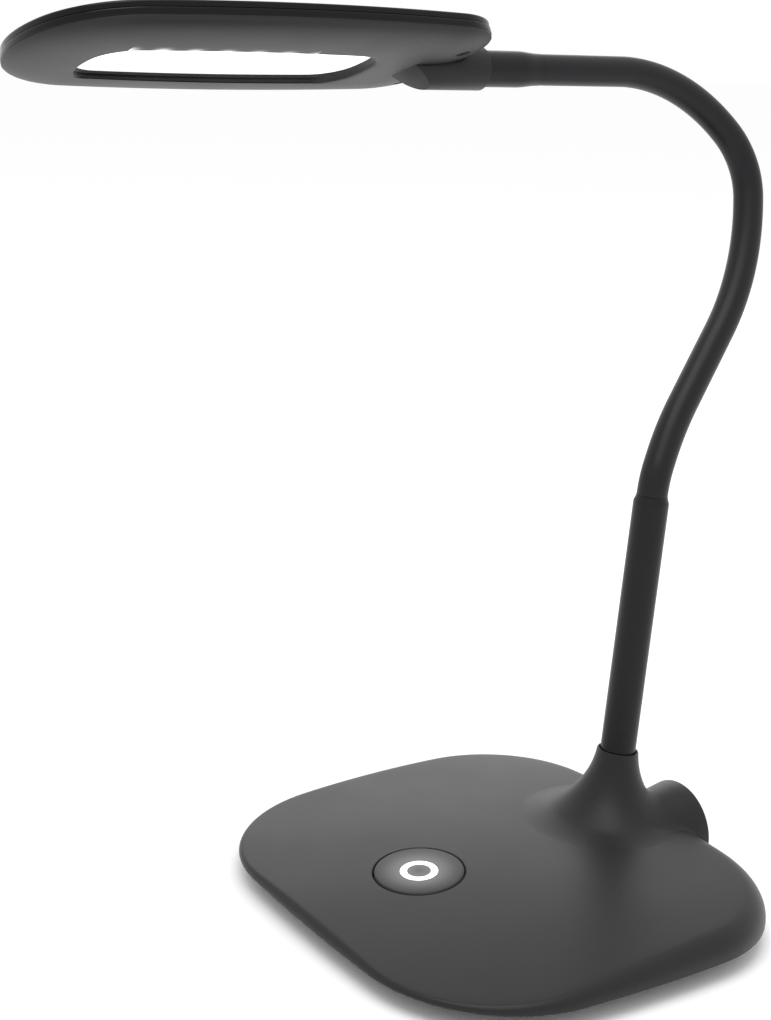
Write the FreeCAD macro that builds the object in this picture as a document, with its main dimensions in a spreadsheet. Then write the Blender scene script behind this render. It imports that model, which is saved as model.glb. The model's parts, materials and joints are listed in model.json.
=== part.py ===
import FreeCAD, Part
import Sketcher
import math
import os

# Gooseneck desk lamp, millimetres and degrees.
# The origin is the middle of the footprint on the table, +Z is up and the head is on the -Y side.

Vector = FreeCAD.Vector
Rotation = FreeCAD.Rotation
Placement = FreeCAD.Placement

X_AXIS = Vector(1, 0, 0)
Y_AXIS = Vector(0, 1, 0)
Z_AXIS = Vector(0, 0, 1)
NEARLY_NOTHING = 0.01

SIZES = [
    # Base cover
    ("base_width", 186.4, "overall width of the base"),
    ("base_depth", 169.0, "overall depth of the base"),
    ("base_side_radius", 600.0, "bow of the left and right sides"),
    ("base_end_radius", 900.0, "bow of the front and rear sides"),
    ("base_rear_corner", 52.0, "rear corners in plan"),
    ("base_front_corner", 56.0, "front corners in plan"),
    ("base_lift", 4.0, "lower edge of the cover above the table"),
    ("waist_height", 8.5, "height of the widest line"),
    ("top_height", 20.4, "height of the top at the middle"),
    ("top_slope", 3.4, "rise of the top to the rear, degrees"),
    ("top_crown", 5.1, "fall of the top from the middle to its rim"),
    ("roll_share", 0.85, "radius of the rolled edge against the height over the widest line"),
    ("edge_tuck", 8.0, "width of the tucked lower edge"),
    ("cavity_inset", 6.0, "inside of the cover from its widest line"),
    ("shell_wall", 2.4, "wall of the base cover"),
    # Boss and hump
    ("boss_ring_radius", 8.2, "outer radius of the boss at its ring"),
    ("boss_waist_radius", 12.9, "radius of the boss at its waist"),
    ("boss_waist_height", 13.0, "height of the waist over the neck's root"),
    ("boss_foot_radius", 26.7, "radius of the boss's foot"),
    ("boss_height", 27.6, "boss ring above the neck's root, along the neck"),
    ("boss_sink", 1.0, "depth of the boss's foot in the cover"),
    ("boss_grip", 15.0, "length of the boss's bore round the sleeve"),
    ("boss_floor", 3.0, "web under the sleeve"),
    ("hump_x", 8.8, "middle of the hump, across"),
    ("hump_root", 0.3, "front of the hump before the neck's root"),
    ("hump_overhang", 3.5, "rear face of the hump proud of the cover"),
    ("hump_axis_height", 13.7, "axis of the hump's barrel"),
    ("hump_front_radius", 13.4, "barrel of the hump at its front"),
    ("hump_rear_radius", 18.3, "barrel of the hump at its rear face"),
    ("hump_floor", 10.0, "foot of the hump"),
    ("hump_wall", 2.6, "wall of the hump's rear face"),
    # Base plate, feet, ballast and fasteners
    ("plate_thickness", 2.0, "underside cover"),
    ("plate_gap", 0.2, "gap round the underside cover"),
    ("foot_radius", 9.0, "rubber foot"),
    ("foot_recess", 0.8, "depth of a foot in the underside cover"),
    ("foot_from_side", 33.2, "feet from the sides of the base"),
    ("foot_from_end", 34.5, "feet from the front and the rear of the base"),
    ("post_radius", 4.2, "screw post"),
    ("post_from_side", 55.2, "base screws from the sides of the base"),
    ("post_from_end", 28.5, "base screws from the front and the rear of the base"),
    ("screw_radius", 1.5, "shank radius of a case screw"),
    ("screw_head_radius", 2.9, "head radius of a case screw"),
    ("screw_head_height", 1.4, "head height of a case screw"),
    ("screw_length", 8.0, "shank length of a case screw"),
    ("screw_slip", 0.05, "radial slip round a screw's shank"),
    ("drive_width", 0.8, "width of the cross recess"),
    ("drive_length", 3.0, "length of the cross recess"),
    ("drive_depth", 0.7, "depth of the cross recess"),
    ("ballast_from_side", 29.2, "ballast from the sides of the base"),
    ("ballast_front", 0.0, "front edge of the ballast"),
    ("ballast_from_rear", 18.5, "ballast from the rear of the base"),
    ("ballast_thickness", 8.0, "ballast"),
    ("ballast_corner", 16.0, "cut corners of the ballast"),
    ("ballast_neck_hole", 15.0, "radius of the hole under the neck"),
    ("ballast_post_gap", 1.0, "gap round a screw post"),
    # Button and board
    ("button_from_front", 49.9, "button centre from the front of the base"),
    ("button_radius", 17.0, "button"),
    ("button_gap", 0.5, "gap round the button"),
    ("button_travel", 0.8, "press of the button"),
    ("button_thickness", 2.2, "disc of the button"),
    ("button_skirt_depth", 3.7, "depth of the button's skirt"),
    ("button_skirt_wall", 1.6, "wall of the button's skirt"),
    ("button_lip", 1.2, "lip that keeps the button in"),
    ("button_lip_thickness", 0.8, "thickness of that lip"),
    ("button_edge", 0.4, "bevel round the button"),
    ("ring_outer_radius", 7.2, "lit ring, outside"),
    ("ring_inner_radius", 4.55, "lit ring, inside"),
    ("ring_depth", 1.2, "depth of the ring in the disc"),
    ("ring_middle", 5.9, "middle of the ring's width"),
    ("ring_slip", 0.04, "slip round the lit ring"),
    ("peg_radius", 1.1, "light peg under the ring"),
    ("plunger_radius", 1.7, "plunger of the switch"),
    ("plunger_length", 1.2, "free length of the plunger"),
    ("plunger_seat", 1.0, "length of the plunger in the switch"),
    ("plunger_slip", 0.1, "slip round the plunger"),
    ("switch_width", 6.2, "switch housing"),
    ("switch_height", 3.2, "switch housing"),
    ("board_thickness", 1.6, "control board"),
    ("board_length", 56.0, "control board, across"),
    ("board_width", 38.0, "control board, fore and aft"),
    ("board_screw_x", 23.0, "board screws from the button's middle"),
    ("board_screw_length", 4.0, "length of a board screw"),
    ("led_width", 1.8, "light source of the ring"),
    ("led_height", 0.8, "light source of the ring"),
    # Jack
    ("jack_width", 9.0, "inlet housing, across"),
    ("jack_height", 10.0, "inlet housing, tall"),
    ("jack_length", 12.6, "inlet housing, deep"),
    ("jack_bore", 3.1, "radius of the socket"),
    ("jack_bore_depth", 10.5, "depth of the socket"),
    ("jack_pin", 1.05, "radius of the centre pin"),
    ("jack_foot", 4.0, "bracket under the inlet, fore and aft"),
    ("inlet_radius", 4.6, "hole in the hump for the plug"),
    ("inlet_height", 20.5, "height of the inlet"),
    ("inlet_gap", 0.3, "inlet housing to the hump's wall"),
    # Neck
    ("stem_from_rear", 26.2, "neck axis at its root from the rear of the base"),
    ("stem_root_height", 20.8, "height of the neck's root"),
    ("stem_lean", 4.9, "backward lean of the lower sleeve, degrees"),
    ("sleeve_radius", 6.95, "outer radius of the sleeves"),
    ("tail_bore", 4.5, "bore of the lower sleeve"),
    ("sleeve_bore_upper", 4.5, "bore of the upper sleeve"),
    ("sleeve_slip", 0.1, "slip of the sleeve in the boss"),
    ("ring_clearance", 0.5, "gap round the sleeve at the boss's ring"),
    ("ring_clearance_depth", 2.0, "depth of that gap"),
    ("sleeve_bend_gap", 0.2, "end of the lower sleeve before the first bend"),
    ("lower_taper", 3.0, "taper at the top of the lower sleeve"),
    ("upper_sleeve_length", 28.0, "upper sleeve"),
    ("upper_taper", 11.0, "taper at the rear of the upper sleeve"),
    ("neck_radius", 6.05, "outer radius of the neck's skin"),
    ("skin_wall", 1.5, "wall of the neck's skin"),
    ("core_radius", 4.3, "radius of the neck's core"),
    ("core_bore", 1.9, "bore of the core"),
    ("ball_radius", 3.4, "ball of a core link"),
    ("ball_clearance", 0.3, "gap round a ball in its cup"),
    ("ball_neck_radius", 2.6, "neck under a ball"),
    ("ball_neck_length", 4.4, "neck under a ball"),
    ("cup_start", 0.8, "cup's rim past the ball's centre"),
    ("wire_radius", 0.75, "lead in the neck"),
    ("wire_spacing", 1.7, "spacing of the two leads"),
    ("neck_tilt", 17.5, "sideways lean of the curved neck, degrees"),
    ("bend_a_height", 158.5, "height of the first bend"),
    ("bend_a_angle", 32.0, "lean after the first bend, degrees"),
    ("bend_a_radius", 22.0, "first bend"),
    ("run_a_length", 22.6, "first run of the neck's route"),
    ("bend_b_angle", 41.9, "lean after the second bend, degrees"),
    ("bend_b_radius", 150.0, "second bend"),
    ("run_b_length", 80.7, "second run of the neck's route"),
    ("bend_c_angle", 11.8, "lean after the third bend, degrees"),
    ("bend_c_radius", 114.0, "third bend"),
    ("run_c_length", 48.2, "third run of the neck's route"),
    ("bend_d_angle", -41.0, "lean after the fourth bend, degrees"),
    ("bend_d_radius", 32.6, "fourth bend"),
    ("run_d_length", 48.9, "fourth run of the neck's route"),
    ("bend_e_angle", -90.0, "lean after the fifth bend, degrees"),
    ("bend_e_radius", 69.0, "fifth bend"),
    ("run_e_length", 101.2, "fifth run of the neck's route"),
    ("tail_radius", 5.6, "threaded tail of the lower sleeve"),
    ("tail_length", 10.0, "threaded tail of the lower sleeve"),
    ("tail_slip", 0.06, "slip of the nut on the tail"),
    ("nut_radius", 8.5, "neck nut, across corners"),
    ("nut_height", 5.0, "neck nut"),
    ("washer_radius", 10.5, "neck washer"),
    ("washer_thickness", 1.2, "neck washer"),
    # Head, measured from the neck's front end
    ("head_roll", 15.9, "sideways lean of the head, degrees"),
    ("head_length", 179.0, "head"),
    ("head_width", 88.5, "head"),
    ("head_rear", -10.0, "rear edge of the head from the neck's end"),
    ("head_side_radius", 560.0, "bow of the head's long sides"),
    ("head_front_radius", 60.0, "bow of the head's front"),
    ("head_rear_radius", 240.0, "bow of the head's rear"),
    ("head_front_corner", 34.0, "front corners of the head"),
    ("head_rear_corner", 26.0, "rear corners of the head"),
    ("rim_base", 4.0, "lower edge of the rim above the neck's axis"),
    ("rim_height", 2.4, "rim frame"),
    ("cover_height", 2.6, "top cover"),
    ("cover_inset", 0.35, "inset of the top cover"),
    ("cover_round", 1.1, "rounded edge of the top cover"),
    ("rim_seam", 0.2, "shadow gap over the rim frame"),
    ("rim_wall", 2.0, "wall of the rim frame"),
    ("head_belly", 5.4, "depth of the convex underside"),
    ("belly_margin", 22.5, "width of the curved margin"),
    ("head_wall", 1.8, "wall of the underside shell"),
    ("window_length", 112.4, "window"),
    ("window_width", 40.6, "window"),
    ("window_shift", -8.1, "window forward of the head's middle"),
    ("window_across", -2.0, "window aside from the head's middle"),
    ("window_side_radius", 600.0, "bow of the window's long sides"),
    ("window_end_radius", 45.0, "bow of the window's ends"),
    ("window_corner", 14.0, "corners of the window"),
    ("window_depth", 3.4, "diffuser above the window's lip"),
    ("collar_wall", 1.4, "wall round the window"),
    ("panel_margin", 4.0, "panels beyond the window"),
    ("diffuser_thickness", 1.0, "diffuser"),
    ("guide_thickness", 2.0, "light guide"),
    ("reflector_thickness", 0.3, "reflector"),
    ("strip_length", 104.0, "light strip"),
    ("strip_thickness", 1.0, "light strip"),
    ("strip_height", 2.4, "light strip"),
    ("strip_gap", 0.3, "lights to the guide"),
    ("light_count", 8, "lights on the strip"),
    ("light_pitch", 12.0, "spacing of the lights"),
    ("light_length", 3.0, "one light"),
    ("light_depth", 1.2, "one light"),
    ("light_height", 1.6, "one light"),
    ("head_screw_x", 21.0, "head screws from the middle"),
    ("head_screw_y", -22.7, "head screws from the neck's end"),
    ("head_screw_recess", 2.6, "radius of a screw's recess"),
    ("head_screw_radius", 1.2, "shank radius of a head screw"),
    ("head_screw_height", 1.1, "head height of a head screw"),
    ("head_screw_length", 5.0, "shank length of a head screw"),
    ("head_screw_sink", 1.8, "head screw above the lowest line of the shell"),
    ("head_post_radius", 3.4, "screw post in the head"),
    ("cover_wall", 1.3, "wall of the top cover"),
    ("lead_slot_width", 5.0, "slot for the leads"),
    ("lead_slot_length", 11.0, "slot for the leads"),
    ("lead_slot_y", -19.0, "slot for the leads from the neck's end"),
    ("block_slot_length", 15.2, "channel for the leads in the arm block"),
    ("lead_drop", 1.0, "leads under the light guide"),
    ("lead_bend", 1.5, "bends of the leads in the head"),
    ("lead_run_y", -33.0, "end of the leads' straight run between the arm screws"),
    ("lead_turn_y", -50.0, "turn of the leads to the light strip"),
    # Arm block and swivel
    ("block_radius", 8.3, "arm block"),
    ("block_length", 37.0, "arm block along its underside"),
    ("block_bevel", 36.0, "slope of the block's nose, degrees"),
    ("block_gap", 0.3, "gap to the upper sleeve"),
    ("spigot_length", 9.5, "spigot of the neck in the block"),
    ("spigot_slip", 0.06, "radial slip of the spigot"),
    ("clip_radius", 5.6, "retaining clip"),
    ("clip_thickness", 1.0, "retaining clip"),
    ("clip_groove", 0.5, "depth of the clip's groove"),
    ("clip_room", 0.3, "room round the clip"),
    ("clip_slot", 3.0, "opening of the clip"),
    ("clip_place", 6.8, "clip from the neck's end"),
    ("chamber_length", 2.9, "chamber round the clip"),
    ("arm_screw_x", 4.4, "arm screws from the middle"),
    ("arm_screw_y", -27.0, "arm screws from the neck's end"),
    ("arm_screw_length", 4.5, "shank length of an arm screw"),
    ("arm_screw_lift", 0.35, "arm screw above the shell's inside"),
    ("joint_count", 6, "bending places in the neck"),
    # Small clearances and edges
    ("overcut", 1.0, "reach of a cut past the face that it opens"),
    ("plate_seat", 0.5, "room over the underside cover"),
    ("foot_edge", 1.0, "rounded lower edge of a foot"),
    ("plunger_room", 0.3, "room under the plunger beyond its travel"),
    ("pin_set_back", 0.5, "end of the centre pin inside the socket"),
    ("bracket_set_back", 1.0, "bracket in front of the housing's front edge"),
    ("sleeve_lip", 0.15, "step from a sleeve's end to the skin"),
    ("chip_width", 6.2, "driver chip"),
    ("chip_height", 1.6, "driver chip"),
    ("chip_across", 14.375, "driver chip from the button's middle, across"),
    ("chip_along", 9.5, "driver chip from the button's middle, fore and aft"),
]

document = FreeCAD.newDocument("GooseneckLamp")
sheet = document.addObject("Spreadsheet::Sheet", "Sizes")
sheet_rows = []


def add_size(alias, value, meaning):
    """Put one size in the sheet's next row."""
    sheet_rows.append(alias)
    row = len(sheet_rows)
    sheet.set(f"A{row}", alias)
    sheet.set(f"B{row}", str(value))
    sheet.set(f"C{row}", meaning)
    sheet.setAlias(f"B{row}", alias)


for entry in SIZES:
    add_size(*entry)
document.recompute()


def size(alias):
    """Value of one cell of the sheet."""
    return float(sheet.get(alias))


# Places on the base that follow from its outline

half_base_width = size("base_width") / 2
half_base_depth = size("base_depth") / 2
stem_root_y = half_base_depth - size("stem_from_rear")
button_y = size("button_from_front") - half_base_depth
hump_start = stem_root_y - size("hump_root")
hump_rear = half_base_depth + size("hump_overhang")
foot_x = half_base_width - size("foot_from_side")
foot_y = half_base_depth - size("foot_from_end")
post_x = half_base_width - size("post_from_side")
post_y = half_base_depth - size("post_from_end")
half_ballast = half_base_width - size("ballast_from_side")
ballast_rear = half_base_depth - size("ballast_from_rear")


def measure(expression):
    """Value of an expression over the sheet's cells."""
    return float(sheet.evalExpression(expression))


def direction(angle):
    """Unit vector in the neck's plane, leaning back by angle from its upward line."""
    return Vector(0, math.sin(math.radians(angle)), math.cos(math.radians(angle)))


# Outlines


def outline_points(half_width, half_length, side_radius, end_radius, corner_radius):
    """Tangent points and mid point of one corner between a bowed side and a bowed end."""
    side_x = half_width - side_radius
    end_y = half_length - end_radius
    reach_side = side_radius - corner_radius
    reach_end = end_radius - corner_radius
    base = (reach_side ** 2 - reach_end ** 2 - side_x ** 2 + end_y ** 2) / (2 * end_y)
    slope = side_x / end_y
    half_b = base * slope - side_x
    constant = side_x ** 2 + base ** 2 - reach_side ** 2
    square = 1 + slope ** 2
    root = math.sqrt(half_b ** 2 - square * constant)
    choices = [(sign * root - half_b) / square for sign in (-1, 1)]
    centre = max((Vector(across, base + slope * across, 0) for across in choices), key=lambda spot: spot.y)
    to_side = (centre - Vector(side_x, 0, 0)).normalize()
    to_end = (centre - Vector(0, end_y, 0)).normalize()
    middle = (to_side + to_end).normalize()
    return (centre + to_side * corner_radius, centre + middle * corner_radius,
            centre + to_end * corner_radius)


def outline(shape, inset=0.0, scale=1.0, height=0.0, slope=0.0):
    """Closed wire of eight arcs, moved in by inset, on a plane that rises to the rear by slope."""
    corners = []
    for half_length, end_radius, corner_radius in (shape["rear"], shape["front"]):
        corners.append(outline_points(shape["half_width"] - inset, half_length - inset,
                                      shape["side_radius"] - inset, end_radius - inset,
                                      corner_radius - inset))

    def lift(point, mirror_x, mirror_y):
        across = point.x * mirror_x * scale + shape["across"]
        along = point.y * mirror_y * scale
        return Vector(across, along + shape["centre"], height + along * slope)

    rear, front = corners
    side = Vector(shape["half_width"] - inset, 0, 0)
    rear_end = Vector(0, shape["rear"][0] - inset, 0)
    front_end = Vector(0, shape["front"][0] - inset, 0)
    arcs = (
        (lift(front[0], 1, -1), lift(side, 1, 1), lift(rear[0], 1, 1)),
        (lift(rear[0], 1, 1), lift(rear[1], 1, 1), lift(rear[2], 1, 1)),
        (lift(rear[2], 1, 1), lift(rear_end, 1, 1), lift(rear[2], -1, 1)),
        (lift(rear[2], -1, 1), lift(rear[1], -1, 1), lift(rear[0], -1, 1)),
        (lift(rear[0], -1, 1), lift(side, -1, 1), lift(front[0], -1, -1)),
        (lift(front[0], -1, -1), lift(front[1], -1, -1), lift(front[2], -1, -1)),
        (lift(front[2], -1, -1), lift(front_end, 1, -1), lift(front[2], 1, -1)),
        (lift(front[2], 1, -1), lift(front[1], 1, -1), lift(front[0], 1, -1)),
    )
    return Part.Wire([Part.Arc(*points).toShape() for points in arcs])


def prism(shape, low, high, inset=0.0):
    """Upright solid on an outline, from low to high."""
    return Part.Face(outline(shape, inset, height=low)).extrude(Z_AXIS * (high - low))


BASE_PLAN = {
    "half_width": size("base_width") / 2,
    "side_radius": size("base_side_radius"),
    "rear": (size("base_depth") / 2, size("base_end_radius"), size("base_rear_corner")),
    "front": (size("base_depth") / 2, size("base_end_radius"), size("base_front_corner")),
    "across": 0.0,
    "centre": 0.0,
}
HEAD_MIDDLE = size("head_rear") - size("head_length") / 2
HEAD_PLAN = {
    "half_width": size("head_width") / 2,
    "side_radius": size("head_side_radius"),
    "rear": (size("head_length") / 2, size("head_rear_radius"), size("head_rear_corner")),
    "front": (size("head_length") / 2, size("head_front_radius"), size("head_front_corner")),
    "across": 0.0,
    "centre": HEAD_MIDDLE,
}
WINDOW_END = (size("window_length") / 2, size("window_end_radius"), size("window_corner"))
WINDOW_PLAN = {
    "half_width": size("window_width") / 2,
    "side_radius": size("window_side_radius"),
    "rear": WINDOW_END,
    "front": WINDOW_END,
    "across": size("window_across"),
    "centre": HEAD_MIDDLE + size("window_shift"),
}

# Frames of the leaning stem, the button and the head

STEM = Placement(Vector(0, stem_root_y, size("stem_root_height")),
                 Rotation(X_AXIS, -size("stem_lean")))


def base_top(along, reach=0.0):
    """Height of the base's top at a place fore or aft, for a share of the way to its rim."""
    return (size("top_height") + along * math.tan(math.radians(size("top_slope")))
            - size("top_crown") * reach ** 2)


def frame_on_top(along):
    """Frame standing square on the base's top on its middle line."""
    reach = along / CROWN_SPAN
    slope = size("top_slope") - math.degrees(2 * size("top_crown") * reach / CROWN_SPAN)
    return Placement(Vector(0, along, base_top(along, reach)), Rotation(X_AXIS, slope))


CROWN_SPAN = (size("base_width") + size("base_depth")) / 4
BUTTON = frame_on_top(button_y)

# Route of the neck


class Route:
    """Straight runs joined by tangent arcs, measured by distance from its start."""

    def __init__(self, corners, radii):
        self.pieces = []
        start = corners[0]
        for index, radius in enumerate(radii, start=1):
            before = (corners[index] - corners[index - 1]).normalize()
            after = (corners[index + 1] - corners[index]).normalize()
            turn = before.getAngle(after)
            back = radius * math.tan(turn / 2)
            axis = before.cross(after).normalize()
            tangent = corners[index] - before * back
            self.pieces.append(("line", start, before, (tangent - start).Length))
            centre = tangent + axis.cross(before) * radius
            self.pieces.append(("arc", tangent, before, radius * turn, centre, axis, radius))
            start = corners[index] + after * back
        last = (corners[-1] - start)
        self.pieces.append(("line", start, Vector(last).normalize(), last.Length))
        self.length = sum(piece[3] for piece in self.pieces)

    def at(self, distance):
        """Point and direction at a distance along the route."""
        rest = distance
        for piece in self.pieces:
            if rest <= piece[3] or piece is self.pieces[-1]:
                break
            rest -= piece[3]
        if piece[0] == "line":
            return piece[1] + piece[2] * rest, piece[2]
        turn = Rotation(piece[5], math.degrees(rest / piece[6]))
        return piece[4] + turn.multVec(piece[1] - piece[4]), turn.multVec(piece[2])

    def sweep(self, low, high, rings, offset=0.0, side=X_AXIS):
        """Solid of round section between two distances, moved aside by offset."""
        solids = []
        passed = 0.0
        for piece in self.pieces:
            start = max(low, passed)
            end = min(high, passed + piece[3])
            if end - start > SHORTEST_SWEEP:
                point, heading = self.at(start)
                face = ring_face(point + side * offset, heading, rings)
                if piece[0] == "line":
                    solids.append(face.extrude(heading * (end - start)))
                else:
                    turn = math.degrees((end - start) / piece[6])
                    solids.append(face.revolve(piece[4], piece[5], turn))
            passed += piece[3]
        joined = solids[0]
        if len(solids) > 1:
            joined = joined.fuse(solids[1:])
        return joined


SHORTEST_SWEEP = 0.02


def ring_face(centre, normal, rings):
    """Disc, or ring where rings holds two radii, square to normal."""
    wires = [Part.Wire(Part.Circle(centre, normal, radius).toShape()) for radius in rings]
    face = Part.Face(wires[0])
    if len(wires) > 1:
        face = face.cut(Part.Face(wires[1])).Faces[0]
    return face


PLANE = Rotation(Y_AXIS, -size("neck_tilt"))
NECK_RUNS = [(size(f"run_{name}_length"), size(f"bend_{name}_angle")) for name in "abcde"]
NECK_RADII = [size(f"bend_{name}_radius") for name in "abcde"]
stem_direction = STEM.Rotation.multVec(Z_AXIS)
stem_reach = (size("bend_a_height") - size("stem_root_height")) / stem_direction.z
corners = [STEM.Base, STEM.Base + stem_direction * stem_reach]
for run_length, lean in NECK_RUNS:
    corners.append(corners[-1] + PLANE.multVec(direction(lean)) * run_length)
neck_tip = corners[-1]
corners[-1] = neck_tip + PLANE.multVec(direction(NECK_RUNS[-1][1])) * size("spigot_length")
ROUTE = Route(corners, NECK_RADII)
NECK_END = ROUTE.length - size("spigot_length")
straight_stem = ROUTE.pieces[0][3]
add_size("lower_sleeve_length", straight_stem - size("sleeve_bend_gap"),
         "lower sleeve, from the neck's root")
document.recompute()
FLEX_START = size("lower_sleeve_length")
FLEX_END = NECK_END - size("upper_sleeve_length")
FLEX_STEP = (FLEX_END - FLEX_START) / size("joint_count")
JOINTS = [FLEX_START + FLEX_STEP * (index + 0.5) for index in range(int(size("joint_count")))]
PLANE_NORMAL = PLANE.multVec(X_AXIS)
HEAD = Placement(neck_tip, Rotation(Y_AXIS, -size("head_roll")))

# Parts made from sketches


def new_body(label):
    """Empty body with its label."""
    body = document.addObject("PartDesign::Body", label)
    body.Label = label
    return body


def origin_plane(body, role):
    """One of the body's own origin planes."""
    return next(item for item in body.Origin.OriginFeatures if item.Role == role)


def new_sketch(body, name, role="XY_Plane", lift="0"):
    """Sketch on an origin plane, lifted along the plane's normal."""
    sketch = body.newObject("Sketcher::SketchObject", name)
    sketch.AttachmentSupport = [(origin_plane(body, role), "")]
    sketch.MapMode = "FlatFace"
    sketch.setExpression("AttachmentOffset.Base.z", lift)
    return sketch


def cell(expression):
    """The expression with each alias pointing at the sheet."""
    words = []
    for word in expression.replace("(", " ( ").replace(")", " ) ").split():
        words.append(f"Sizes.{word}" if word[0].isalpha() else word)
    return " ".join(words)


def pin_point(sketch, geometry, point, across, along):
    """Hold one sketch point at two expressions from the sketch's origin."""
    for kind, expression in (("DistanceX", across), ("DistanceY", along)):
        bound = cell(expression)
        index = sketch.addConstraint(Sketcher.Constraint(kind, -1, 1, geometry, point, measure(bound)))
        sketch.setExpression(f"Constraints[{index}]", bound)


def polygon(sketch, points):
    """Closed polygon through points given as expressions."""
    places = [Vector(measure(cell(across)), measure(cell(along)), 0) for across, along in points]
    first = sketch.GeometryCount
    count = len(points)
    for index in range(count):
        sketch.addGeometry(Part.LineSegment(places[index], places[(index + 1) % count]))
    for index in range(count):
        following = first + (index + 1) % count
        sketch.addConstraint(Sketcher.Constraint("Coincident", first + index, 2, following, 1))
    for index, (across, along) in enumerate(points):
        pin_point(sketch, first + index, 1, across, along)


def circle(sketch, across, along, radius):
    """Circle with its centre and radius as expressions."""
    centre = Vector(measure(cell(across)), measure(cell(along)), 0)
    bound = cell(radius)
    index = sketch.addGeometry(Part.Circle(centre, Z_AXIS, measure(bound)))
    pin_point(sketch, index, 3, across, along)
    held = sketch.addConstraint(Sketcher.Constraint("Radius", index, measure(bound)))
    sketch.setExpression(f"Constraints[{held}]", bound)


def feature(body, kind, name, sketch, length):
    """Pad or pocket of a sketch by a length expression."""
    item = body.newObject(f"PartDesign::{kind}", name)
    item.Profile = sketch
    item.setExpression("Length", cell(length))
    body.Tip = item
    return item


def turned(body, kind, name, sketch):
    """Revolution or groove of a sketch about its own upright axis."""
    item = body.newObject(f"PartDesign::{kind}", name)
    item.Profile = sketch
    item.ReferenceAxis = (sketch, ["V_Axis"])
    item.Angle = 360.0
    body.Tip = item
    return item


def turned_body(label, points, place=None):
    """Body turned from one profile about its own Z axis."""
    body = new_body(label)
    sketch = new_sketch(body, f"{label}_profile", "XZ_Plane")
    polygon(sketch, points)
    turned(body, "Revolution", f"{label}_turned", sketch)
    if place is not None:
        body.Placement = place
    return body


def solid_node(label, shape, place=None):
    """Sub-part whose shape is worked out here from the sheet's values."""
    node = document.addObject("Part::Feature", label)
    node.Label = label
    node.Shape = shape
    if place is not None:
        node.Placement = place
    return node


def copies(label, shape, places):
    """One sub-part of separate solids, a copy of shape at each place."""
    solids = []
    for place in places:
        copy = shape.copy()
        copy.Placement = place.multiply(copy.Placement)
        solids.append(copy)
    return solid_node(label, Part.makeCompound(solids))


# Base cover


def crown_ball(drop):
    """Large ball whose upper skin is the base's top, lowered by drop."""
    radius = CROWN_SPAN ** 2 / (2 * size("top_crown"))
    ball = Part.makeSphere(radius)
    upward = Rotation(X_AXIS, size("top_slope")).multVec(Z_AXIS)
    centre = Vector(0, 0, size("top_height") - drop) - upward * radius
    ball.Placement = Placement(centre, Rotation(Y_AXIS, 90))
    return ball


def rolled(block, name):
    """Block with its upper rim rolled, more where the rim stands higher."""
    rim = []
    for number, edge in enumerate(block.Edges, start=1):
        ends = [vertex.Point for vertex in edge.Vertexes]
        upper = [point for point in ends if point.z > size("waist_height") + 0.1]
        if len(upper) == 2 and abs(ends[0].distanceToPoint(ends[1])) > 1 and not is_upright(ends):
            radii = [(point.z - size("waist_height")) * size("roll_share") for point in ends]
            if edge.Orientation == "Reversed":
                radii.reverse()
            rim.append((number, radii[0], radii[1]))
    raw = document.addObject("Part::Feature", f"{name}_blank")
    raw.Shape = block
    rounded = document.addObject("Part::Fillet", f"{name}_rolled")
    rounded.Base = raw
    rounded.Edges = rim
    document.recompute()
    return rounded.Shape.copy()


def is_upright(ends):
    """Whether an edge stands on end."""
    return abs(ends[0].x - ends[1].x) < NEARLY_NOTHING and abs(ends[0].y - ends[1].y) < NEARLY_NOTHING


def box_about(width, length, low, high, centre=Vector()):
    """Box centred on X and Y between two heights."""
    return Part.makeBox(width, length, high - low,
                        Vector(centre.x - width / 2, centre.y - length / 2, low))


waist = size("waist_height")
lift = size("base_lift")
tuck_inset = size("edge_tuck")
wall = size("shell_wall")
crown_block = prism(BASE_PLAN, waist, size("top_height") * 2).common(crown_ball(0.0))
crown = rolled(crown_block, "crown")
tuck = Part.makeLoft([outline(BASE_PLAN, tuck_inset, height=lift), outline(BASE_PLAN, height=waist)],
                     True, True)


def hump_body(inset, rear):
    """Barrel that widens from the boss to its rear face, moved in by inset."""
    length = rear - hump_start
    growth = (size("hump_rear_radius") - size("hump_front_radius")) / (hump_rear - hump_start)
    front = size("hump_front_radius") - inset
    barrel = Part.makeCone(front, front + growth * length, length,
                           Vector(size("hump_x"), hump_start, size("hump_axis_height")), Y_AXIS)
    above = box_about(size("base_width"), length * 2, size("hump_floor") + inset, size("base_width"),
                      Vector(size("hump_x"), hump_start + length, 0))
    return barrel.common(above)


hump = hump_body(0.0, hump_rear)


def turned_stem(points, arc=None):
    """Solid turned about the neck's root axis from radius and height pairs."""
    corners_2d = [Vector(radius, 0, height) for radius, height in points]
    edges = []
    for index, start in enumerate(corners_2d):
        end = corners_2d[(index + 1) % len(corners_2d)]
        if arc is not None and index == arc[0]:
            edges.append(Part.Arc(start, Vector(arc[1], 0, arc[2]), end).toShape())
        else:
            edges.append(Part.makeLine(start, end))
    solid = Part.Face(Part.Wire(edges)).revolve(Vector(), Z_AXIS, 360)
    solid.Placement = STEM
    return solid


foot_drop = -size("boss_sink") - size("boss_floor")
boss = turned_stem([(0, foot_drop), (size("boss_foot_radius"), foot_drop), (size("boss_foot_radius"), 0),
                    (size("boss_ring_radius"), size("boss_height")), (0, size("boss_height"))],
                   (2, size("boss_waist_radius"), size("boss_waist_height")))


def joined(first, additions):
    """Solid with each addition fused on in turn."""
    result = first
    for addition in additions:
        result = result.fuse(addition)
    return result


def relieved(first, removals):
    """Solid with each removal cut out in turn."""
    result = first
    for removal in removals:
        result = result.cut(removal)
    return result


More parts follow.
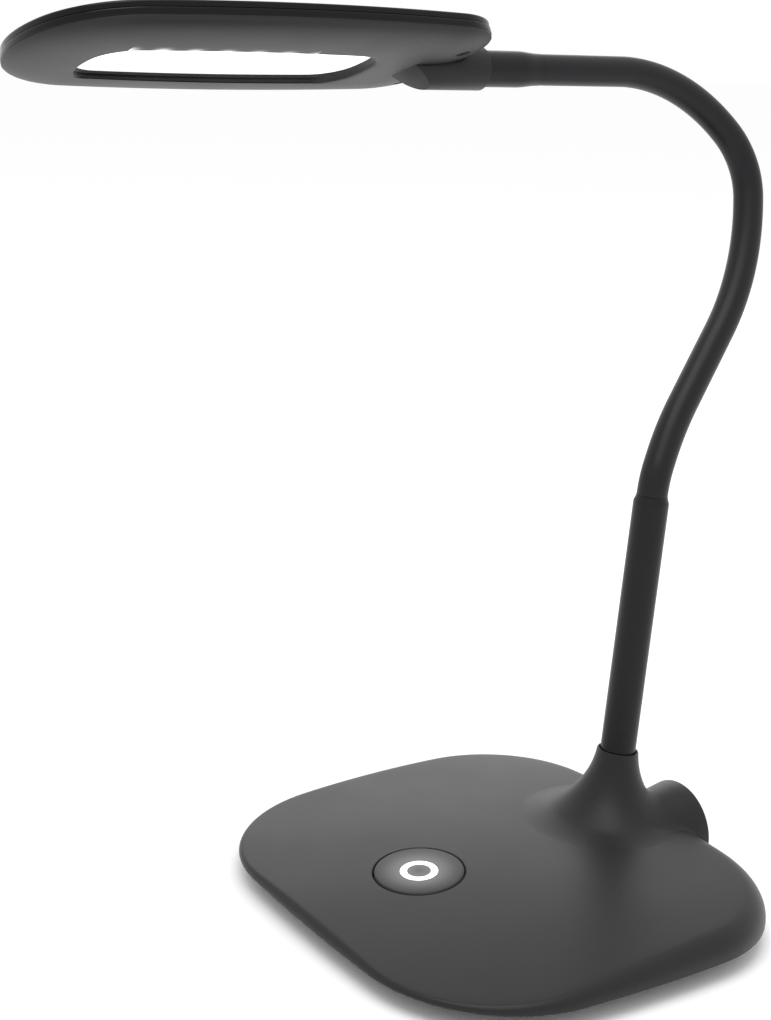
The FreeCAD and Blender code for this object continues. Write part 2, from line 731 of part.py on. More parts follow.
skin = joined(crown, [tuck, hump, boss])
cavity = prism(BASE_PLAN, lift + size("plate_thickness"), size("top_height") * 2, size("cavity_inset"))
cavity = cavity.common(crown_ball(wall))
opening = prism(BASE_PLAN, lift - size("overcut"), lift + size("plate_thickness") + size("plate_seat"),
                tuck_inset + wall)
hump_hollow = hump_body(wall, hump_rear - size("hump_wall"))
shell = relieved(skin, [cavity, opening, hump_hollow])
boss_core = turned_stem([(0, -size("boss_floor")), (size("sleeve_radius") + wall, -size("boss_floor")),
                         (size("sleeve_radius") + wall, size("boss_grip")), (0, size("boss_grip"))])


def square_places(across, along):
    """Four spots in a rectangle round the middle."""
    spots = []
    for side in (-1, 1):
        for end in (-1, 1):
            spots.append(Vector(side * across, end * along, 0))
    return spots


def upright(radius, low, high, spot):
    """Upright cylinder at a spot."""
    return Part.makeCylinder(radius, high - low, Vector(spot.x, spot.y, low), Z_AXIS)


def framed(shape, frame):
    """The shape moved into a frame."""
    moved = shape.copy()
    moved.Placement = frame.multiply(moved.Placement)
    return moved


plate_top = lift + size("plate_thickness")
SCREW_SPOTS = square_places(post_x, post_y)
FOOT_SPOTS = square_places(foot_x, foot_y) + [Vector()]
under_top = prism(BASE_PLAN, plate_top, size("top_height") * 2,
                  size("cavity_inset")).common(crown_ball(wall / 2))
posts = []
for spot in SCREW_SPOTS:
    posts.append(upright(size("post_radius"), plate_top, size("top_height") * 2, spot).common(under_top))
shell = joined(shell, [boss_core] + posts)
button_hole = framed(Part.makeCylinder(size("button_radius") + size("button_gap"), size("top_height"),
                                       Vector(0, 0, -size("top_height") / 2)), BUTTON)
holes = [
    turned_stem([(0, 0), (size("sleeve_radius") + size("sleeve_slip"), 0),
                 (size("sleeve_radius") + size("sleeve_slip"), size("boss_height") * 2),
                 (0, size("boss_height") * 2)]),
    turned_stem([(0, size("boss_height") - size("ring_clearance_depth")),
                 (size("sleeve_radius") + size("ring_clearance"),
                  size("boss_height") - size("ring_clearance_depth")),
                 (size("sleeve_radius") + size("ring_clearance"), size("boss_height") * 2),
                 (0, size("boss_height") * 2)]),
    turned_stem([(0, -size("boss_height")), (size("tail_radius") + size("sleeve_slip"),
                                             -size("boss_height")),
                 (size("tail_radius") + size("sleeve_slip"), size("boss_floor")), (0, size("boss_floor"))]),
    button_hole,
    Part.makeCylinder(size("inlet_radius"), size("hump_wall") * 4,
                      Vector(size("hump_x"), hump_rear - size("hump_wall") * 2, size("inlet_height")),
                      Y_AXIS),
]
for spot in SCREW_SPOTS:
    holes.append(upright(size("screw_radius") + size("screw_slip"), plate_top - size("overcut"),
                         plate_top + size("screw_length"), spot))
shell = relieved(shell, holes)
solid_node("base_shell", shell)

# Underside cover, feet and ballast

plate = prism(BASE_PLAN, lift, plate_top, tuck_inset + wall + size("plate_gap"))
recesses = [upright(size("foot_radius") + size("plate_gap"), lift - size("overcut"),
                    lift + size("foot_recess"), spot)
            for spot in FOOT_SPOTS]
head_sinks = [upright(size("screw_head_radius") + size("plate_gap"), lift - size("overcut"),
                      lift + size("screw_head_height"), spot)
              for spot in SCREW_SPOTS]
shank_holes = [upright(size("screw_radius") + size("screw_slip"), lift - size("overcut"),
                       plate_top + size("overcut"), spot)
               for spot in SCREW_SPOTS]
solid_node("base_plate", plate.cut(recesses + head_sinks + shank_holes))

foot_blank = Part.makeCylinder(size("foot_radius"), lift + size("foot_recess"))
foot_rim = [edge for edge in foot_blank.Edges if edge.BoundBox.ZMax < NEARLY_NOTHING]
foot_blank = foot_blank.makeFillet(size("foot_edge"), foot_rim)
copies("rubber_feet", foot_blank, [Placement(spot, Rotation()) for spot in FOOT_SPOTS])


def case_screw():
    """Cross-head case screw, its head down at z = 0 and its shank upward."""
    head_disc = Part.makeCylinder(size("screw_head_radius"), size("screw_head_height"))
    shank = Part.makeCylinder(size("screw_radius"), size("screw_length"),
                              Vector(0, 0, size("screw_head_height")))
    screw = head_disc.fuse(shank).removeSplitter()
    slots = []
    for turn in (0, 90):
        slot = Part.makeBox(size("drive_length"), size("drive_width"), size("drive_depth"),
                            Vector(-size("drive_length") / 2, -size("drive_width") / 2, 0))
        slot.rotate(Vector(), Z_AXIS, turn)
        slots.append(slot)
    return screw.cut(slots)


SCREW = case_screw()
copies("base_screws", SCREW, [Placement(Vector(spot.x, spot.y, lift), Rotation()) for spot in SCREW_SPOTS])

cut_corner = size("ballast_corner")
ballast_plan = [
    Vector(-half_ballast, size("ballast_front"), plate_top),
    Vector(half_ballast, size("ballast_front"), plate_top),
    Vector(half_ballast, ballast_rear - cut_corner, plate_top),
    Vector(half_ballast - cut_corner, ballast_rear, plate_top),
    Vector(cut_corner - half_ballast, ballast_rear, plate_top),
    Vector(-half_ballast, ballast_rear - cut_corner, plate_top),
]
ballast = Part.Face(Part.makePolygon(ballast_plan + [ballast_plan[0]]))
ballast = ballast.extrude(Z_AXIS * size("ballast_thickness"))
relief = [upright(size("post_radius") + size("ballast_post_gap"), 0, size("top_height"), spot)
          for spot in SCREW_SPOTS]
relief.append(upright(size("ballast_neck_hole"), 0, size("top_height"), Vector(0, stem_root_y, 0)))
solid_node("ballast_plate", ballast.cut(relief))

# Button, its ring and the switch


cap = new_body("button_cap")
profile = new_sketch(cap, "button_cap_profile", "XZ_Plane")
polygon(profile, [
    ("0", "- button_thickness"),
    ("button_radius - button_skirt_wall", "- button_thickness"),
    ("button_radius - button_skirt_wall", "- button_skirt_depth"),
    ("button_radius + button_lip", "- button_skirt_depth"),
    ("button_radius + button_lip", "button_lip_thickness - button_skirt_depth"),
    ("button_radius", "button_lip_thickness - button_skirt_depth"),
    ("button_radius", "- button_edge"),
    ("button_radius - button_edge", "0"),
    ("ring_outer_radius + ring_slip", "0"),
    ("ring_outer_radius + ring_slip", "- ring_depth"),
    ("ring_inner_radius - ring_slip", "- ring_depth"),
    ("ring_inner_radius - ring_slip", "0"),
    ("0", "0"),
])
turned(cap, "Revolution", "button_cap_turned", profile)
pegs = new_sketch(cap, "button_peg_holes", "XY_Plane")
for side in ("-", ""):
    circle(pegs, f"{side} ring_middle", "0", "peg_radius + ring_slip")
feature(cap, "Pocket", "button_peg_pocket", pegs, "button_thickness + 1")
cap.Placement = BUTTON

ring_middle = size("ring_middle")
ring = Part.makeCylinder(size("ring_outer_radius"), size("ring_depth"), Vector(0, 0, -size("ring_depth")))
ring = ring.cut(Part.makeCylinder(size("ring_inner_radius"), size("ring_depth"),
                                  Vector(0, 0, -size("ring_depth"))))
light_pegs = [Part.makeCylinder(size("peg_radius"), size("button_thickness") - size("ring_depth") / 2,
                                Vector(side * ring_middle, 0, -size("button_thickness")))
              for side in (-1, 1)]
solid_node("button_light_ring", ring.fuse(light_pegs).removeSplitter(), BUTTON)

plunger_top = -size("button_thickness")
switch_top = plunger_top - size("plunger_length")
switch_low = switch_top - size("switch_height")
turned_body("switch_plunger", [
    ("0", "- button_thickness"),
    ("plunger_radius", "- button_thickness"),
    ("plunger_radius", "- button_thickness - plunger_length - plunger_seat"),
    ("0", "- button_thickness - plunger_length - plunger_seat"),
], BUTTON)

switch = box_about(size("switch_width"), size("switch_width"), switch_low, switch_top)
switch = switch.cut(Part.makeCylinder(size("plunger_radius") + size("plunger_slip"),
                                      size("plunger_seat") + size("button_travel") + size("plunger_room"),
                                      Vector(0, 0, switch_top - size("plunger_seat") - size("button_travel")
                                             - size("plunger_room"))))
solid_node("tact_switch", switch, BUTTON)
board_low = switch_low - size("board_thickness")
board = box_about(size("board_length"), size("board_width"), board_low, switch_low)
board_spots = [Vector(side * size("board_screw_x"), 0, 0) for side in (-1, 1)]
board = board.cut([upright(size("screw_radius") + size("screw_slip"), board_low, switch_low, spot)
                   for spot in board_spots])
solid_node("control_board", board, BUTTON)
ring_led = box_about(size("led_width"), size("led_width"), switch_low, switch_low + size("led_height"))
copies("ring_leds", ring_led,
       [BUTTON.multiply(Placement(Vector(side * ring_middle, 0, 0), Rotation())) for side in (-1, 1)])
chip = box_about(size("chip_width"), size("chip_width"), switch_low, switch_low + size("chip_height"),
                 Vector(-size("chip_across"), size("chip_along"), 0))
solid_node("driver_chip", chip, BUTTON)

board_posts = []
for spot in board_spots:
    post = framed(upright(size("post_radius"), board_low - size("top_height"), board_low, spot), BUTTON)
    post = post.cut(Part.makeBox(size("base_width"), size("base_depth"), size("base_width"),
                                 Vector(-size("base_width") / 2, -size("base_depth") / 2,
                                        plate_top - size("base_width"))))
    bore = framed(upright(size("screw_radius") + size("screw_slip"), board_low - size("screw_length"),
                          board_low, spot), BUTTON)
    board_posts.append(post.cut(bore))
solid_node("board_posts", Part.makeCompound(board_posts))
board_screw_place = Rotation(X_AXIS, 180)
cut_off = box_about(size("screw_length") * 2, size("screw_length") * 2, size("board_screw_length"),
                    size("screw_length") * 2)
copies("board_screws", SCREW.cut(cut_off), [
    BUTTON.multiply(Placement(Vector(spot.x, spot.y, switch_low + size("screw_head_height")),
                              board_screw_place))
    for spot in board_spots])

# Power inlet

jack_x = size("hump_x")
jack_front = hump_rear - size("hump_wall") - size("inlet_gap")
jack = Part.makeBox(size("jack_width"), size("jack_length"), size("jack_height"),
                    Vector(jack_x - size("jack_width") / 2, jack_front - size("jack_length"),
                           size("inlet_height") - size("jack_height") / 2))
socket = Part.makeCylinder(size("jack_bore"), size("jack_bore_depth"),
                           Vector(jack_x, jack_front - size("jack_bore_depth"), size("inlet_height")),
                           Y_AXIS)
solid_node("dc_jack", jack.cut(socket))
pin_length = size("jack_bore_depth") - size("pin_set_back")
pin = Part.makeCylinder(size("jack_pin"), pin_length,
                        Vector(jack_x, jack_front - size("jack_bore_depth"), size("inlet_height")), Y_AXIS)
pin_tip = [edge for edge in pin.Edges if edge.BoundBox.YMin > jack_front - size("overcut")]
pin = pin.makeFillet(size("jack_pin") / 3, pin_tip)
solid_node("jack_pin", pin)
bracket = Part.makeBox(size("jack_width"), size("jack_foot"),
                       size("inlet_height") - size("jack_height") / 2 - plate_top,
                       Vector(jack_x - size("jack_width") / 2,
                              jack_front - size("jack_length") + size("bracket_set_back"),
                              plate_top))
solid_node("jack_bracket", bracket)

# Neck: sleeve, nut and washer

turned_body("lower_sleeve", [
    ("tail_bore", "- tail_length"),
    ("tail_radius", "- tail_length"),
    ("tail_radius", "0"),
    ("sleeve_radius", "0"),
    ("sleeve_radius", "lower_sleeve_length - lower_taper"),
    ("neck_radius + sleeve_lip", "lower_sleeve_length"),
    ("tail_bore", "lower_sleeve_length"),
], STEM)
turned_body("neck_washer", [
    ("tail_radius + tail_slip", "- boss_floor - washer_thickness"),
    ("washer_radius", "- boss_floor - washer_thickness"),
    ("washer_radius", "- boss_floor"),
    ("tail_radius + tail_slip", "- boss_floor"),
], STEM)
nut_top = -size("boss_floor") - size("washer_thickness")
hexagon = Part.makePolygon([Vector(size("nut_radius") * math.cos(math.radians(60 * index)),
                                   size("nut_radius") * math.sin(math.radians(60 * index)),
                                   nut_top - size("nut_height")) for index in range(7)])
nut = Part.Face(hexagon).extrude(Z_AXIS * size("nut_height"))
nut = nut.cut(Part.makeCylinder(size("tail_radius") + size("tail_slip"), size("nut_height"),
                                Vector(0, 0, nut_top - size("nut_height"))))
solid_node("neck_nut", nut, STEM)

# Neck: links, leads and skins

core_rings = (size("core_radius"), size("core_bore"))
TAIL_LEAD = 0.5
lead_reach = size("ball_radius") - 0.1
cup_reach = size("ball_radius") + size("ball_clearance") + 0.2


def ball(radius, place):
    """Ball at a point."""
    return Part.makeSphere(radius, place)


for index in range(len(JOINTS) + 1):
    before = JOINTS[index - 1] if index > 0 else None
    after = JOINTS[index] if index < len(JOINTS) else None
    low = 0.0 if before is None else before + size("cup_start")
    high = NECK_END + size("spigot_length") if after is None else after
    pieces = []
    if after is None:
        pieces.append(ROUTE.sweep(low, high, core_rings))
    else:
        pieces.append(ROUTE.sweep(low, high - size("ball_neck_length"), core_rings))
        pieces.append(ROUTE.sweep(high - size("ball_neck_length") - 0.01, high + size("ball_radius") / 2,
                                  (size("ball_neck_radius"), size("core_bore"))))
        pieces.append(ball(size("ball_radius"), ROUTE.at(after)[0]))
    link = pieces[0]
    if len(pieces) > 1:
        link = link.fuse(pieces[1:])
        bore = ROUTE.sweep(after - size("ball_neck_length") * 2, after + size("ball_radius") * 1.2,
                           (size("core_bore"),))
        link = link.cut(bore)
    if before is not None:
        link = link.cut(ball(size("ball_radius") + size("ball_clearance"), ROUTE.at(before)[0]))
    if after is None:
        groove_at = NECK_END + size("clip_place")
        link = link.cut(ROUTE.sweep(groove_at, groove_at + size("clip_thickness"),
                                    (size("core_radius") + 1, size("core_radius") - size("clip_groove"))))
    solid_node(f"neck_link_{index}", link)
    lead_low = TAIL_LEAD if before is None else before + cup_reach
    lead_high = high if after is None else after + lead_reach
    leads = [ROUTE.sweep(lead_low, lead_high, (size("wire_radius"),), side * size("wire_spacing") / 2,
                         PLANE_NORMAL)
             for side in (-1, 1)]
    solid_node(f"neck_leads_{index}", Part.makeCompound(leads))
for index in range(len(JOINTS)):
    skin_low = FLEX_START + FLEX_STEP * index
    tube = ROUTE.sweep(skin_low, skin_low + FLEX_STEP,
                       (size("neck_radius"), size("neck_radius") - size("skin_wall")))
    solid_node(f"neck_skin_{index + 1}", tube)

# Upper sleeve and swivel

AXIS = Placement(HEAD.Base, HEAD.Rotation.multiply(Rotation(X_AXIS, 90)))
turned_body("upper_sleeve", [
    ("sleeve_bore_upper", "- upper_sleeve_length"),
    ("neck_radius + sleeve_lip", "- upper_sleeve_length"),
    ("sleeve_radius", "- upper_sleeve_length + upper_taper"),
    ("sleeve_radius", "0"),
    ("sleeve_bore_upper", "0"),
], AXIS)

# Head, in its own frame at the neck's end


def belly(inset, rise):
    """Curved underside below the rim, moved in and up."""
    wires = []
    for angle in BELLY_ANGLES:
        pull = size("belly_margin") * (1 - math.cos(math.radians(angle)))
        drop = size("head_belly") * math.sin(math.radians(angle))
        wires.append(outline(HEAD_PLAN, inset + pull, height=size("rim_base") + rise - drop))
    return Part.makeLoft(wires, True, False)


BELLY_ANGLES = (0, 25, 50, 70, 90)
COVER_ANGLES = (0, 30, 60, 90)
rim_low = size("rim_base")
rim_high = rim_low + size("rim_height")
cover_top = rim_high + size("cover_height")
belly_low = rim_low - size("head_belly")
window_top = belly_low + size("window_depth")
shell_outer = belly(0.0, 0.0)
shell_inner = belly(size("head_wall"), size("head_wall"))
upper_room = prism(HEAD_PLAN, rim_low - 0.01, rim_low + size("head_wall"), size("head_wall"))
collar = prism(WINDOW_PLAN, belly_low, window_top, -size("collar_wall"))
window = prism(WINDOW_PLAN, belly_low - 1, cover_top, 0.0)
WINDOW_Y = WINDOW_PLAN["centre"]
panel_x = size("window_across") + size("window_width") / 2 + size("panel_margin")
light_x = panel_x + size("strip_gap")
strip_x = light_x + size("light_depth")
guide_low = window_top + size("diffuser_thickness")
guide_high = guide_low + size("guide_thickness")
rail = box_about(size("strip_thickness") + size("light_depth"), size("strip_length"),
                 belly_low + size("head_wall") / 2, guide_low - 0.2,
                 Vector(light_x + (size("strip_thickness") + size("light_depth")) / 2, WINDOW_Y, 0))
HEAD_SCREWS = [Vector(side * size("head_screw_x"), size("head_screw_y"), 0) for side in (-1, 1)]
screw_seat = belly_low + size("head_screw_sink")
post_split = guide_low
head_shell = shell_outer.cut(shell_inner)
for addition in [collar, rail] + [upright(size("head_post_radius"), screw_seat + 0.4, post_split, spot)
                                  for spot in HEAD_SCREWS]:
    head_shell = head_shell.fuse(addition)
cuts = [window]
for spot in HEAD_SCREWS:
    cuts.append(upright(size("head_screw_recess"), belly_low - 1,
                        screw_seat + size("head_screw_height"), spot))
    cuts.append(upright(size("head_screw_radius") + size("screw_slip"), belly_low, post_split + 1, spot))
ARM_SCREWS = [Vector(side * size("arm_screw_x"), size("arm_screw_y"), 0) for side in (-1, 1)]
arm_screw_seat = belly_low + size("head_wall") + size("arm_screw_lift")
for spot in ARM_SCREWS:
    cuts.append(upright(size("head_screw_radius") + size("screw_slip"), belly_low - 2, rim_low, spot))
    cuts.append(upright(size("head_screw_recess"), arm_screw_seat, rim_low, spot))
lead_slot = box_about(size("lead_slot_width"), size("lead_slot_length"), belly_low - 2, rim_low,
                      Vector(0, size("lead_slot_y"), 0))
cuts.append(lead_slot)
for cut in cuts:
    head_shell = head_shell.cut(cut)
solid_node("head_shell", head_shell, HEAD)

rim = prism(HEAD_PLAN, rim_low, rim_high).cut(prism(HEAD_PLAN, rim_low, rim_high, size("rim_wall")))
solid_node("head_rim", rim, HEAD)
cover_roll = []
for angle in COVER_ANGLES:
    roll_in = size("cover_inset") + size("cover_round") * (1 - math.cos(math.radians(angle)))
    roll_up = cover_top - size("cover_round") * (1 - math.sin(math.radians(angle)))
    cover_roll.append(outline(HEAD_PLAN, roll_in, height=roll_up))
cover = prism(HEAD_PLAN, rim_high, cover_top - size("cover_round"), size("cover_inset"))
cover = cover.fuse(Part.makeLoft(cover_roll, True, False))
cover = cover.cut(prism(HEAD_PLAN, rim_high - 1, cover_top - size("cover_wall"),
                        size("rim_wall") + size("cover_wall")))
seam = prism(HEAD_PLAN, rim_high, rim_high + size("rim_seam"), -1).cut(
    prism(HEAD_PLAN, rim_high, rim_high + size("rim_seam"), size("rim_wall") / 2))
cover = cover.cut(seam)
for spot in HEAD_SCREWS:
    cover = cover.fuse(upright(size("head_post_radius"), post_split, cover_top - size("cover_wall"), spot))
for spot in HEAD_SCREWS:
    cover = cover.cut(upright(size("head_screw_radius") + size("screw_slip"), post_split - 1,
                              cover_top - size("cover_wall"), spot))
solid_node("head_cover", cover, HEAD)
solid_node("light_diffuser", prism(WINDOW_PLAN, window_top, guide_low, -size("panel_margin")), HEAD)
solid_node("light_guide", prism(WINDOW_PLAN, guide_low, guide_high, -size("panel_margin")), HEAD)
solid_node("light_reflector", prism(WINDOW_PLAN, guide_high, guide_high + size("reflector_thickness"),
                                    -size("panel_margin")), HEAD)
strip_low = guide_low - 0.2
strip = box_about(size("strip_thickness"), size("strip_length"), strip_low,
                  strip_low + size("strip_height"),
                  Vector(strip_x + size("strip_thickness") / 2, WINDOW_Y, 0))
solid_node("led_strip", strip, HEAD)
led = box_about(size("light_depth"), size("light_length"), strip_low + 0.3,
                strip_low + 0.3 + size("light_height"),
                Vector(light_x + size("light_depth") / 2, WINDOW_Y, 0))
first_light = -(size("light_count") - 1) / 2
copies("leds", led, [HEAD.multiply(Placement(Vector(0, (first_light + index) * size("light_pitch"), 0),
                                             Rotation()))
                     for index in range(int(size("light_count")))])


def small_screw(length):
    """Small case screw, head down at z = 0."""
    disc = Part.makeCylinder(size("head_screw_recess") - size("plate_gap"), size("head_screw_height"))
    shank = Part.makeCylinder(size("head_screw_radius"), length, Vector(0, 0, size("head_screw_height")))
    screw = disc.fuse(shank).removeSplitter()
    for turn in (0, 90):
        slot = box_about(size("drive_length"), size("drive_width") * 0.75, 0, size("drive_depth") * 0.75)
        slot.rotate(Vector(), Z_AXIS, turn)
        screw = screw.cut(slot)
    return screw


copies("head_screws", small_screw(size("head_screw_length")),
       [HEAD.multiply(Placement(Vector(spot.x, spot.y, screw_seat), Rotation())) for spot in HEAD_SCREWS])
copies("arm_screws", small_screw(size("arm_screw_length")),
       [HEAD.multiply(Placement(Vector(spot.x, spot.y, arm_screw_seat + size("head_screw_height")),
                                Rotation(X_AXIS, 180))) for spot in ARM_SCREWS])

# Arm block and the swivel's clip

block = Part.makeCylinder(size("block_radius"), size("block_length") - size("block_gap"),
                          Vector(0, -size("block_length"), 0), Y_AXIS)
nose = Part.makeBox(size("block_radius") * 4, size("block_length"), size("block_radius") * 4,
                    Vector(-size("block_radius") * 2, -size("block_length"), -size("block_radius") * 4))
nose.rotate(Vector(0, -size("block_length"), 0), X_AXIS, -size("block_bevel"))
block = block.cut(nose)
block = block.cut(prism(HEAD_PLAN, rim_low, cover_top + size("block_radius"), 0.0))
block = block.cut(shell_outer)
bore_length = size("spigot_length") + size("clip_room")
bore = Part.makeCylinder(size("core_radius") + size("spigot_slip"), bore_length,
                         Vector(0, -bore_length, 0), Y_AXIS)
clip_y = -size("clip_place")
chamber = Part.makeCylinder(size("clip_radius") + size("clip_room"), size("chamber_length"),
                            Vector(0, clip_y - size("chamber_length") + size("clip_room"), 0), Y_AXIS)
block = block.cut(bore)
block = block.cut(chamber)
slot_front = size("lead_slot_y") - size("lead_slot_length") / 2
block = block.cut(box_about(size("lead_slot_width"), size("block_slot_length"),
                            -size("lead_slot_width") / 2,
                            size("core_bore"), Vector(0, slot_front + size("block_slot_length") / 2, 0)))
block = block.cut(box_about(size("lead_slot_width"), size("lead_slot_length"), 0,
                            size("block_radius"), Vector(0, size("lead_slot_y"), 0)))
for spot in ARM_SCREWS:
    block = block.cut(upright(size("head_screw_radius") + size("screw_slip"),
                              arm_screw_seat - size("arm_screw_length"), size("block_radius"), spot))
solid_node("arm_block", block, HEAD)
clip = Part.makeCylinder(size("clip_radius"), size("clip_thickness"),
                         Vector(0, clip_y - size("clip_thickness"), 0), Y_AXIS)
clip = clip.cut(Part.makeCylinder(size("core_radius") - size("clip_groove"), size("clip_thickness"),
                                  Vector(0, clip_y - size("clip_thickness"), 0), Y_AXIS))
clip = clip.cut(Part.makeBox(size("clip_slot"), size("clip_thickness"), size("clip_radius") * 2,
                             Vector(-size("clip_slot") / 2, clip_y - size("clip_thickness"),
                                    -size("clip_radius") * 2)))
solid_node("swivel_clip", clip, HEAD)


def head_lead(side):
    """Lead from the swivel's bore to the light strip."""
    offset = side * size("wire_spacing") / 2
    lead_z = guide_low - size("lead_drop")
    spots = [Vector(offset, -size("spigot_length") - size("clip_room"), 0),
             Vector(offset, size("lead_slot_y"), 0),
             Vector(offset, size("lead_slot_y") - size("lead_slot_length") / 2, lead_z),
             Vector(offset, size("lead_run_y"), lead_z),
             Vector(strip_x + offset, size("lead_turn_y") + offset, lead_z),
             Vector(strip_x + offset, WINDOW_Y + size("strip_length") / 2 + 0.3, lead_z)]
    lead_route = Route(spots, [size("lead_bend")] * (len(spots) - 2))
    return lead_route.sweep(0.0, lead_route.length, (size("wire_radius"),))


solid_node("head_leads", Part.makeCompound([head_lead(side) for side in (-1, 1)]), HEAD)

# Checks and export

document.recompute()
EXPORTED = [item for item in document.Objects
            if item.TypeId in ("Part::Feature", "PartDesign::Body") and not item.Label.endswith("_blank")]
for item in document.Objects:
    if "Invalid" in item.State or "Error" in item.State:
        raise RuntimeError(f"{item.Label} did not compute")
for item in EXPORTED:
    if item.Shape.isNull() or not item.Shape.isValid():
        raise RuntimeError(f"{item.Label} has no valid shape")
os.makedirs("parts", exist_ok=True)
for item in EXPORTED:
    item.Shape.exportStep(f"parts/{item.Label}.step")
    box = item.Shape.BoundBox
    print(item.Label, len(item.Shape.Solids), round(item.Shape.Volume),
          [round(value, 1) for value in (box.XMin, box.XMax, box.YMin, box.YMax, box.ZMin, box.ZMax)])
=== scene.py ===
"""Looks of the gooseneck desk lamp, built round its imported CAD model.

Lengths are millimetres unless a name says otherwise; meshes are written in metres.
+Z is up, the head reaches towards -Y and the inlet faces +Y.
"""
import json
import logging
import math
from dataclasses import dataclass, field
from enum import Enum
from typing import Any, Sequence

import bmesh
import bpy
from mathutils import Matrix, Quaternion, Vector

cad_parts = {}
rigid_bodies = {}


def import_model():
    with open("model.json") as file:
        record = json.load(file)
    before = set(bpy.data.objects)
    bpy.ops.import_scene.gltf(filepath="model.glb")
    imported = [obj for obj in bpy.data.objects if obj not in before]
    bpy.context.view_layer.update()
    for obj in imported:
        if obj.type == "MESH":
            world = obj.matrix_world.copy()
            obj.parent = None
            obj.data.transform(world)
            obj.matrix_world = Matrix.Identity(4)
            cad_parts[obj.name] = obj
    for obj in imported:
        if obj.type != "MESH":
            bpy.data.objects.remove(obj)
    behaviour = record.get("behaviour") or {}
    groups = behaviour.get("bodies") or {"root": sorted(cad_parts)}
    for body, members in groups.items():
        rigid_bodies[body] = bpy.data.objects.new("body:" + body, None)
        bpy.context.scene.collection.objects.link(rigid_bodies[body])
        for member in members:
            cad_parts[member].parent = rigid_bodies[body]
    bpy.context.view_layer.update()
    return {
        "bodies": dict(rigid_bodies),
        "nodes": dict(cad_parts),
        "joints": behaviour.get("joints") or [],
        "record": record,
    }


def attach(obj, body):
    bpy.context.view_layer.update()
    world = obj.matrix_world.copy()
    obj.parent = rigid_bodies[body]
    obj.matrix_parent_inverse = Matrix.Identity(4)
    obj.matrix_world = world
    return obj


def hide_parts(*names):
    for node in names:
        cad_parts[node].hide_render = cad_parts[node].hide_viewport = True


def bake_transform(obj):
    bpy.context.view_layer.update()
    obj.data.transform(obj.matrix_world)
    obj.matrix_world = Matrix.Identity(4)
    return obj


LOG = logging.getLogger("desk_lamp")
MM = 0.001
IMAGE_WIDTH = 771
IMAGE_HEIGHT = 1020
WHITE = "ffffff"
TUBE_SIDES = 48
ARM_EDGE = 0.5


# Colour and nodes


def linear(hex_colour: str) -> tuple[float, float, float, float]:
    """Turn an sRGB hex value into linear light.

    Args:
        hex_colour: six hexadecimal digits.

    Returns:
        Red, green and blue in linear light, and a full alpha.
    """
    values = []
    for start in (0, 2, 4):
        part = int(hex_colour[start:start + 2], 16) / 255
        values.append(part / 12.92 if part <= 0.04045 else ((part + 0.055) / 1.055) ** 2.4)
    return (values[0], values[1], values[2], 1.0)


def add_node(tree: bpy.types.NodeTree, kind: str, settings: dict[str, Any] | None = None,
             inputs: dict[Any, Any] | None = None) -> bpy.types.Node:
    """Add a node with its settings and its inputs' values or links.

    Args:
        tree: node tree that gets the node.
        kind: the node's identifier.
        settings: attributes to set on the node.
        inputs: socket name or number to a value, or to an output socket to link from.

    Returns:
        The new node.
    """
    node = tree.nodes.new(kind)
    for name, value in (settings or {}).items():
        setattr(node, name, value)
    for name, value in (inputs or {}).items():
        if isinstance(value, bpy.types.NodeSocket):
            tree.links.new(value, node.inputs[name])
        else:
            node.inputs[name].default_value = value
    return node


class Surface(Enum):
    """How the grain of a finish lies."""

    EVEN = (1.0, 1.0, 1.0)
    BRUSHED = (1.0, 1.0, 0.08)


